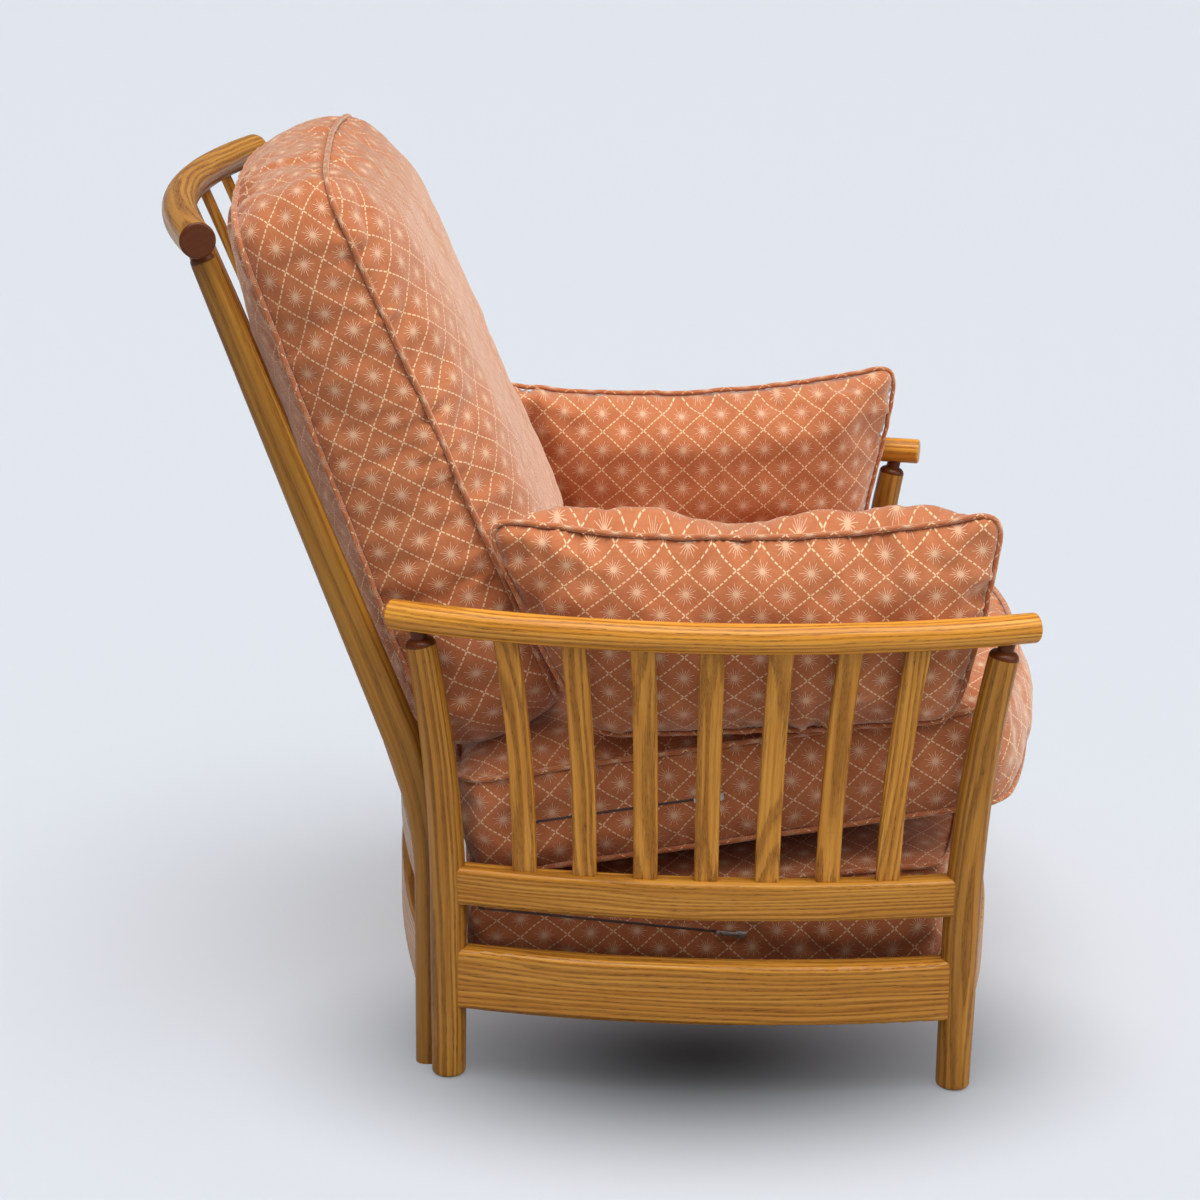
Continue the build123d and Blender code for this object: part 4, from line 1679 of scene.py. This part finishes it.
@dataclass
class Zip:
    """A zip let into the border of a cushion: its chain and its slider.

    Args:
        node: The CAD node of its chain.
        chain: Where the chain lies.
        along: The way that the slider runs.
        outwards: The way that it faces.
    """
    node: str
    chain: Member
    along: np.ndarray
    outwards: np.ndarray
    cover_share: float = 0.36
    tape_share: float = 0.5
    tape_depth_share: float = 0.5
    tape_lift_share: float = 0.22
    tooth_pitch: float = 0.0024
    tooth_length_share: float = 0.55
    tooth_width: float = 0.0021
    tooth_height: float = 0.0013
    tooth_easing: float = 0.0003
    slider_length: float = 0.0115
    slider_width: float = 0.0085
    slider_height_share: float = 0.55
    slider_easing: float = 0.0008
    pull_start: float = 0.006
    pull_width: float = 0.0052
    pull_thickness: float = 0.0011
    pull_drop: float = 0.0012

    @classmethod
    def of(cls, node: str) -> "Zip":
        """Finds a zip by the node of its chain.

        Args:
            node: The chain's node.

        Returns:
            The zip.
        """
        chain = Member.of_node(node)
        joint = next(j for j in frame["joints"] if j["child"] == f"{node}_runner")
        along = unit(joint["axis"])
        outwards = chain.axes[2] * (-1 if chain.axes[2][0] > 0 else 1)
        return cls(node, chain, along, outwards)

    def surface_line(self) -> tuple[np.ndarray, np.ndarray]:
        """The two ends of the line where the cover meets the chain's face.

        Returns:
            The ends.
        """
        face = self.chain.middle + self.outwards * self.chain.sizes[2] * self.cover_share
        reach = self.along * self.chain.sizes[0] / 2
        return face - reach, face + reach

    def build(self, body: str, tape: bpy.types.Material, metal: bpy.types.Material) -> None:
        """Models the chain and the slider.

        Args:
            body: The body that carries the chain.
            tape: The chain's finish.
            metal: The slider's finish.
        """
        across = np.cross(self.outwards, self.along)
        turn = Matrix(np.stack([self.along, across, self.outwards], 1).tolist()).to_4x4()
        place = Matrix.Translation(Vector(self.chain.middle)) @ turn
        length, height, thickness = self.chain.sizes
        height *= self.tape_share
        band = box_piece(f"{self.node}_tape",
                         (length, height, thickness * self.tape_depth_share), self.tooth_easing)
        band.data.transform(Matrix.Translation((0, 0, thickness * self.tape_lift_share)))
        tooth_length = self.tooth_pitch * self.tooth_length_share
        tooth = box_piece(f"{self.node}_teeth", (tooth_length, self.tooth_width,
                                                self.tooth_height), self.tooth_easing)
        first = (-length / 2 + self.tooth_pitch, 0, thickness / 2)
        tooth.data.transform(Matrix.Translation(first))
        rows = tooth.modifiers.new("Row", "ARRAY")
        rows.use_relative_offset = False
        rows.use_constant_offset = True
        rows.constant_offset_displace = (self.tooth_pitch, 0, 0)
        rows.count = int(length / self.tooth_pitch) - 1
        apply_all(tooth)
        for piece, finish in ((band, tape), (tooth, tape)):
            finish_piece(piece, place, finish, body)
        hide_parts(self.node)
        self.build_slider(turn, metal)

    def build_slider(self, turn: Matrix, metal: bpy.types.Material) -> None:
        """Models the slider's body and its pull.

        Args:
            turn: The turn from the origin to the zip's own directions.
            metal: The slider's finish.
        """
        node = f"{self.node}_runner"
        points = node_points(node)
        along = points @ self.along
        face = points @ self.outwards
        start, end = along.min(), along.max()
        base, top = face.min(), face.max()
        middle = points.mean(0)
        middle = middle - self.along * (middle @ self.along) + self.along * start
        middle = middle - self.outwards * (middle @ self.outwards) + self.outwards * base
        height = (top - base) * self.slider_height_share
        body = box_piece(node + "_body", (self.slider_length, self.slider_width, height),
                         self.slider_easing)
        shape_slider(body)
        body.data.transform(Matrix.Translation((self.slider_length / 2, 0, height / 2)))
        pull = pull_piece(node + "_pull", end - start - self.pull_start, self.pull_width,
                          self.pull_thickness)
        lift = top - base - self.pull_drop
        pull.data.transform(Matrix.Translation((self.pull_start, 0, lift)))
        place = Matrix.Translation(Vector(middle)) @ turn
        for piece in (body, pull):
            finish_piece(piece, place, metal, node)
        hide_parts(node)


def apply_all(piece: bpy.types.Object) -> None:
    """Applies a piece's modifiers in order.

    Args:
        piece: The piece.
    """
    bpy.ops.object.select_all(action="DESELECT")
    bpy.context.view_layer.objects.active = piece
    piece.select_set(True)
    for modifier in list(piece.modifiers):
        bpy.ops.object.modifier_apply(modifier=modifier.name)


def finish_piece(piece: bpy.types.Object, place: Matrix, finish: bpy.types.Material,
                 body: str) -> None:
    """Sets a piece in its place, dresses it and ties it to its body.

    Args:
        piece: The piece, modelled about the origin.
        place: Where it goes.
        finish: Its material.
        body: The body that it rides on.
    """
    piece.data.transform(place)
    piece.data.materials.clear()
    piece.data.materials.append(finish)
    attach(piece, body)
    log.info("%s rides on %s", piece.name, body)


def box_piece(name: str, size: Sequence[float], easing: float) -> bpy.types.Object:
    """Adds a small block with eased edges, about the origin.

    Args:
        name: The piece's name.
        size: Its three sizes.
        easing: The width of its eased edges.

    Returns:
        The piece.
    """
    bpy.ops.object.select_all(action="DESELECT")
    bpy.ops.mesh.primitive_cube_add(size=1, location=(0, 0, 0))
    piece = bpy.context.active_object
    piece.name = name
    piece.data.transform(Matrix.Diagonal((*size, 1)))
    ease = piece.modifiers.new("Ease", "BEVEL")
    ease.width = easing
    ease.segments = 2
    apply_all(piece)
    bpy.ops.object.shade_smooth_by_angle(angle=SMOOTH_ANGLE)
    return piece


def select_faces(piece: bpy.types.Object, wanted: Callable[[Vector], bool]) -> None:
    """Selects a piece's faces by their normal, and enters edit mode.

    Args:
        piece: The piece.
        wanted: Says whether a face with a normal is selected.
    """
    bpy.ops.object.select_all(action="DESELECT")
    bpy.context.view_layer.objects.active = piece
    piece.select_set(True)
    bpy.ops.object.mode_set(mode="EDIT")
    bpy.ops.mesh.select_mode(type="FACE")
    bpy.ops.mesh.select_all(action="DESELECT")
    bpy.ops.object.mode_set(mode="OBJECT")
    for face in piece.data.polygons:
        face.select = wanted(face.normal)
    bpy.ops.object.mode_set(mode="EDIT")


def shape_slider(body: bpy.types.Object) -> None:
    """Raises the slider's crown and narrows its tail.

    Args:
        body: The slider's block.
    """
    border, rise, tail_shares = 0.0016, 0.0009, (1, 0.62, 0.9)
    select_faces(body, lambda normal: normal.z > FACING)
    bpy.ops.mesh.inset(thickness=border)
    bpy.ops.transform.translate(value=(0, 0, rise))
    bpy.ops.object.mode_set(mode="OBJECT")
    select_faces(body, lambda normal: normal.x > FACING)
    bpy.ops.transform.resize(value=tail_shares)
    bpy.ops.object.mode_set(mode="OBJECT")


def pull_piece(name: str, length: float, width: float, thickness: float) -> bpy.types.Object:
    """Makes the slider's pull, a tapered tab with a hole at its free end.

    Args:
        name: The pull's name.
        length: Its length.
        width: Its width.
        thickness: Its thickness.

    Returns:
        The pull, with its narrow end at the origin.
    """
    easing, narrow_share, hole_share, hole_place_share = 0.0004, 0.6, 0.24, 0.34
    hole_sides, drill_share = 20, 4
    tab = box_piece(name, (length, width, thickness), easing)
    select_faces(tab, lambda normal: normal.x < -FACING)
    bpy.ops.transform.resize(value=(1, narrow_share, 1))
    bpy.ops.object.mode_set(mode="OBJECT")
    bpy.ops.mesh.primitive_cylinder_add(vertices=hole_sides, radius=width * hole_share,
                                        depth=thickness * drill_share,
                                        location=(length * hole_place_share, 0, 0))
    drill = bpy.context.active_object
    hole = tab.modifiers.new("Hole", "BOOLEAN")
    hole.object = drill
    hole.operation = "DIFFERENCE"
    apply_all(tab)
    bpy.data.objects.remove(drill)
    tab.data.transform(Matrix.Translation((length / 2, 0, 0)))
    return tab


@dataclass
class WoodFrame:
    """Every wooden member of the chair, with the run of its grain.

    Args:
        layout: Where the side frames and the back stand.
        finish: The wood's finish.
    """
    layout: Layout
    finish: AshFinish = field(default_factory=AshFinish)
    half_spacing: float = 0.268
    leg_start: float = 0.180
    leg_height: float = 0.478
    leg_splay: float = 0.027
    rail_bow: float = 0.028
    arm_bow: float = 0.050
    arm_half_span: float = 0.3004
    post_start: float = 0.213
    post_radius: float = 0.450
    post_rise: float = 0.1613
    crest_radius: float = 0.018
    crest_half_span: float = 0.3031
    crest_bow: float = 0.038
    crest_half_length: float = 0.340
    back_rail_bow: float = 0.025
    front_rail_half_span: float = 0.3756
    front_rail_bow: float = 0.064
    first_seed: int = 100
    stain_margin: float = 0.0003
    neck_and_dome: float = 0.024
    end_face_depth: float = 0.0027
    # Painted light and shade: each member's wood colours are scaled lighter or darker for how the
    # light falls on it. They are darkest on the posts and legs and lightest on the arm rails.
    painted_light_rail_tone: float = 0.98
    painted_light_tones: dict = field(default_factory=lambda: {
        "leg": 0.76, "post": 0.62, "crest": 0.86, "slat": 1.06, "arm_rail": 1.28})

    def side_point(self, x: float, y: float, sign: int) -> tuple[float, float]:
        """A point of a side frame's plan, in the chair."""
        sine, cosine = math.sin(self.layout.toe), math.cos(self.layout.toe)
        return (sign * (self.layout.side_offset + x * cosine - y * sine),
                x * sine + y * cosine + self.layout.origin_y)

    def side_arc(self, half_span: float, bow: float, sign: int) -> BowedGrain:
        """The grain of a member bowed out of the side frame.

        Args:
            half_span: Half the member's span.
            bow: How far it bows out over that span.
            sign: 1 on the left, and -1 on the right.

        Returns:
            The grain.
        """
        radius = (half_span**2 + bow**2) / (2 * bow)
        facing = (sign * math.cos(self.layout.toe), math.sin(self.layout.toe))
        return BowedGrain(self.side_point(bow - radius, 0, sign), radius, facing)

    def cross_arc(self, node: str, half_span: float, bow: float, way: int,
                  half_thickness: float = 0.013) -> BowedGrain:
        """The grain of a member that runs across the chair and bows to the front or rear.

        Args:
            node: The member's node.
            half_span: Half the member's span.
            bow: How far it bows out over that span.
            way: 1 where it bows to the rear, and -1 where it bows to the front.
            half_thickness: Half its thickness, from front to rear.

        Returns:
            The grain.
        """
        low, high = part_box(node)
        radius = (half_span**2 + bow**2) / (2 * bow)
        crest = high.y - half_thickness if way > 0 else low.y + half_thickness
        return BowedGrain((0.0, crest - way * radius), radius, (0.0, float(way)))

    def leg(self, node: str) -> tuple[Grain, list[EndStain]]:
        """A leg's grain, and the stain of its turned top.

        Args:
            node: The leg's node.

        Returns:
            The grain, and the planes of the stained ends.
        """
        sign = 1 if node.endswith("left") else -1
        way = 1 if node.startswith("rear") else -1
        sine, cosine = math.sin(self.layout.toe), math.cos(self.layout.toe)
        heading = (-sign * way * sine, way * cosine)
        rise = self.leg_height - self.leg_start
        radius = (rise**2 + self.leg_splay**2) / (2 * self.leg_splay)
        lean = math.asin(rise / radius)
        top = self.side_point(0, way * (self.half_spacing + self.leg_splay), sign)
        outwards = (heading[0] * math.sin(lean), heading[1] * math.sin(lean), math.cos(lean))
        stain = EndStain((*top, self.leg_height + self.stain_margin), outwards)
        return BentGrain(heading, self.leg_start, rise, radius), [stain]

    def post(self, node: str) -> tuple[Grain, list[EndStain]]:
        """A back post's grain, and the stain of its turned top.

        Args:
            node: The post's node.

        Returns:
            The grain, and the planes of the stained ends.
        """
        grain = BentGrain((0.0, 1.0), self.post_start, self.post_rise, self.post_radius)
        outwards = (0.0, math.sin(self.layout.rake), math.cos(self.layout.rake))
        top = node_points(node) @ np.array(outwards)
        stained = self.neck_and_dome - self.stain_margin
        point = tuple(np.array(outwards) * (top.max() - stained))
        return grain, [EndStain(point, outwards)]

    def crest(self) -> tuple[Grain, list[EndStain]]:
        """The crest rail's grain, and the stain of its end faces.

        Returns:
            The grain, and the planes of the stained ends.
        """
        half_length = self.crest_half_length
        grain = self.cross_arc("crest_rail", self.crest_half_span, self.crest_bow, 1,
                               self.crest_radius)
        low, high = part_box("crest_rail")
        angle = math.asin(half_length / grain.radius)
        stains = []
        for sign in (-1, 1):
            outwards = (sign * math.cos(angle), -math.sin(angle), 0.0)
            end = (sign * half_length, grain.center[1] + grain.radius * math.cos(angle),
                   (low.z + high.z) / 2)
            point = tuple(np.array(end) - np.array(outwards) * self.end_face_depth)
            stains.append(EndStain(point, outwards))
        return grain, stains

    def grain_of(self, node: str) -> tuple[Grain, list[EndStain]]:
        """Finds how the grain of a member runs.

        Args:
            node: The member's node.

        Returns:
            Its grain and its dark stained ends.
        """
        sign = 1 if node.endswith("left") else -1
        if "leg" in node:
            return self.leg(node)
        if node.startswith("back_post"):
            return self.post(node)
        if node == "crest_rail":
            return self.crest()
        if node.startswith("arm_rail"):
            return self.side_arc(self.arm_half_span, self.arm_bow, sign), []
        if node.startswith("side_"):
            return self.side_arc(self.half_spacing, self.rail_bow, sign), []
        if node.startswith("back_") and node.endswith("rail"):
            return self.cross_arc(node, self.crest_half_span, self.back_rail_bow, 1), []
        if node == "front_rail":
            return self.cross_arc(node, self.front_rail_half_span, self.front_rail_bow, -1), []
        return StraightGrain(tuple(Member.of_node(node).axes[0])), []

    def painted_light_tone_of(self, node: str) -> float:
        """How light a member's wood is painted, as painted light and shade: posts are the darkest,
        arm rails the lightest.
        """
        found = [painted_light_tone for word, painted_light_tone in self.painted_light_tones.items() if word in node]
        return found[0] if found else self.painted_light_rail_tone

    def dress(self, nodes: Sequence[str]) -> None:
        """Gives each wooden node its own piece of ash.

        Args:
            nodes: The wooden nodes.
        """
        for number, node in enumerate(sorted(nodes)):
            grain, stains = self.grain_of(node)
            material = self.finish.material(f"ash_{node}", grain, self.first_seed + number,
                                            self.painted_light_tone_of(node), stains)
            paint(node, material)


def paint(node: str, material: bpy.types.Material) -> None:
    """Puts a material on a CAD node.

    Args:
        node: The node's name.
        material: The material.
    """
    piece = frame["nodes"][node]
    if not piece.material_slots:
        piece.data.materials.append(material)
    for slot in piece.material_slots:
        slot.material = material
    log.info("%s wears %s", node, material.name)


@dataclass(frozen=True)
class Lamp:
    """A soft distant light.

    Args:
        name: Its name.
        strength: How much light it casts on what faces it.
        coming_from: The way to it.
        angle: How wide it is in the sky, in radians.
        tint: Its colour.
        lights: What it lights.
    """
    name: str
    strength: float
    coming_from: tuple[float, float, float]
    angle: float
    tint: tuple[float, float, float] = (1.0, 1.0, 1.0)
    lights: Receivers = Receivers.ALL

    def hang(self, floor: bpy.types.Object) -> None:
        """Adds the light to the scene.

        Args:
            floor: The floor, which some lights leave out and others light alone.
        """
        light = bpy.data.lights.new(self.name, "SUN")
        light.energy = self.strength
        light.angle = self.angle
        light.color = self.tint
        lamp = bpy.data.objects.new(self.name, light)
        lamp.rotation_mode = "QUATERNION"
        lamp.rotation_quaternion = Vector(self.coming_from).to_track_quat("Z", "Y")
        bpy.context.scene.collection.objects.link(lamp)
        if self.lights is not Receivers.ALL:
            lit = bpy.data.collections.new(f"lit_by_{self.name}")
            lit.objects.link(floor)
            lamp.light_linking.receiver_collection = lit
            if self.lights is Receivers.CHAIR:
                lit.collection_objects[0].light_linking.link_state = "EXCLUDE"
            else:
                lamp.light_linking.blocker_collection = lit


@dataclass(frozen=True)
class Studio:
    """The pale floor, the soft light and the camera of the photograph's view."""
    camera_place: tuple = (-2.88852, 0.15073, 1.311)
    camera_right: tuple = (-0.044754, -0.998909, 0.013348)
    camera_up: tuple = (0.293676, -0.000384, 0.955905)
    camera_ahead: tuple = (0.954857, -0.046700, -0.293373)
    lens: float = 79.2
    floor_size: float = 60.0
    backdrop: tuple = colour(215, 221, 229)
    world_strength: float = 0.23
    world_tint: tuple = (1.0, 0.965, 0.93, 1.0)
    lamps: tuple = (Lamp("overhead", 1.0, (-0.16, 0.0, 0.99), math.radians(44)),
                    Lamp("canopy", 2.5, (-0.22, 0.0, 0.98), math.radians(60),
                         lights=Receivers.CHAIR),
                    Lamp("ground", 1.9, (0.0, 0.0, 1.0), math.radians(60),
                         lights=Receivers.FLOOR),
                    Lamp("front", 1.7, (-0.26, -0.66, 0.70), math.radians(56),
                         (0.92, 1.0, 1.02), Receivers.CHAIR))
    # Painted shadow: a soft dark patch painted into the floor's colour under the chair, given by
    # its colour, middle, reach and strength.
    painted_shadow: tuple = colour(12, 13, 14)
    painted_shadow_center: tuple = (-0.30, -0.09)
    painted_shadow_reach: tuple = (0.34, 0.54)
    painted_shadow_share: float = 0.97

    def build(self) -> None:
        """Sets out the floor, the world, the lamps and the camera."""
        floor = self.lay_floor()
        scene = bpy.context.scene
        scene.view_settings.view_transform = "Standard"
        world = bpy.data.worlds.new("studio")
        world.use_nodes = True
        background = world.node_tree.nodes["Background"]
        background.inputs["Color"].default_value = self.world_tint
        background.inputs["Strength"].default_value = self.world_strength
        scene.world = world
        for lamp in self.lamps:
            lamp.hang(floor)
        lens = bpy.data.cameras.new("camera")
        lens.lens = self.lens
        lens.sensor_width = 36
        lens.clip_end = 200
        camera = bpy.data.objects.new("camera", lens)
        rows = np.stack([self.camera_right, self.camera_up,
                         -np.array(self.camera_ahead)], 1)
        camera.matrix_world = (Matrix.Translation(self.camera_place)
                               @ Matrix(rows.tolist()).to_4x4())
        scene.collection.objects.link(camera)
        scene.camera = camera

    def lay_floor(self) -> bpy.types.Object:
        """Lays a floor that shows as the photograph's pale backdrop, with a soft shadow painted
        into its colour under the chair.

        Returns:
            The floor.
        """
        bpy.ops.object.select_all(action="DESELECT")
        bpy.ops.mesh.primitive_plane_add(size=self.floor_size, location=(0, 0, 0))
        floor = bpy.context.active_object
        floor.name = "floor"
        tree = Tree("floor")
        place = tree.coordinates(Coordinates.OBJECT)
        x, y, _ = tree.parts(place)
        # Paints the shadow under the chair: the floor is darker towards the middle of the patch.
        x = (x - self.painted_shadow_center[0]) / self.painted_shadow_reach[0]
        y = (y - self.painted_shadow_center[1]) / self.painted_shadow_reach[1]
        near = (1.0 - (x * x + y * y).math("SQRT")).clamped()
        near = near * near * (3.0 - near * 2.0)
        tree.set(base_color=tree.mix(near * self.painted_shadow_share, self.backdrop, self.painted_shadow),
                 roughness=0.7, specular_ior_level=0.2)
        floor.data.materials.append(tree.material)
        return floor


def main() -> None:
    """Builds and dresses the chair, piece by piece."""
    logging.basicConfig(level=logging.INFO, format="%(message)s")
    webbing_low, webbing_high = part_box("seat_webbing")
    layout = Layout(origin_y=(webbing_low.y + webbing_high.y) / 2)
    soft = {"base_cushion", "seat_cushion", "back_cushion", "arm_cushion_left",
            "arm_cushion_right"}
    fittings = {"frame_bolts", "threaded_inserts", "webbing_clips", "seat_webbing",
                "base_zip", "base_zip_runner", "seat_zip", "seat_zip_runner"}
    WoodFrame(layout).dress([n for n in frame["nodes"] if n not in soft | fittings])
    steel = PlainFinish(base=colour(150, 148, 143), worn=colour(112, 108, 103),
                        metal=1.0, rough=0.34, patch=0.006, depth=2e-5)
    brass = PlainFinish(base=colour(186, 152, 84), worn=colour(150, 118, 62),
                        metal=1.0, rough=0.32, patch=0.005, depth=2e-5)
    rubber = PlainFinish(base=colour(96, 72, 50), worn=colour(74, 54, 38),
                        metal=0.0, rough=0.78, patch=0.012, depth=3e-4)
    tape = PlainFinish(base=colour(84, 66, 60), worn=colour(58, 48, 46),
                        metal=0.0, rough=0.6, patch=0.003, depth=1e-4)
    slider = PlainFinish(base=colour(196, 190, 184), worn=colour(150, 144, 138),
                        metal=1.0, rough=0.34, patch=0.004, depth=2e-5)
    paint("frame_bolts", steel.material("bolt_steel"))
    paint("webbing_clips", steel.material("clip_steel"))
    paint("threaded_inserts", brass.material("insert_brass"))
    paint("seat_webbing", rubber.material("webbing_rubber"))
    cloth = ClothFinish().material("cover_cloth")
    Upholstery(layout).build(cloth)
    tape_finish, metal_finish = tape.material("zip_tape"), slider.material("zip_metal")
    Zip.of("base_zip").build(FRAME_BODY, tape_finish, metal_finish)
    Zip.of("seat_zip").build("seat_cushion", tape_finish, metal_finish)
    Studio().build()


if __name__ == "__main__":
    main()
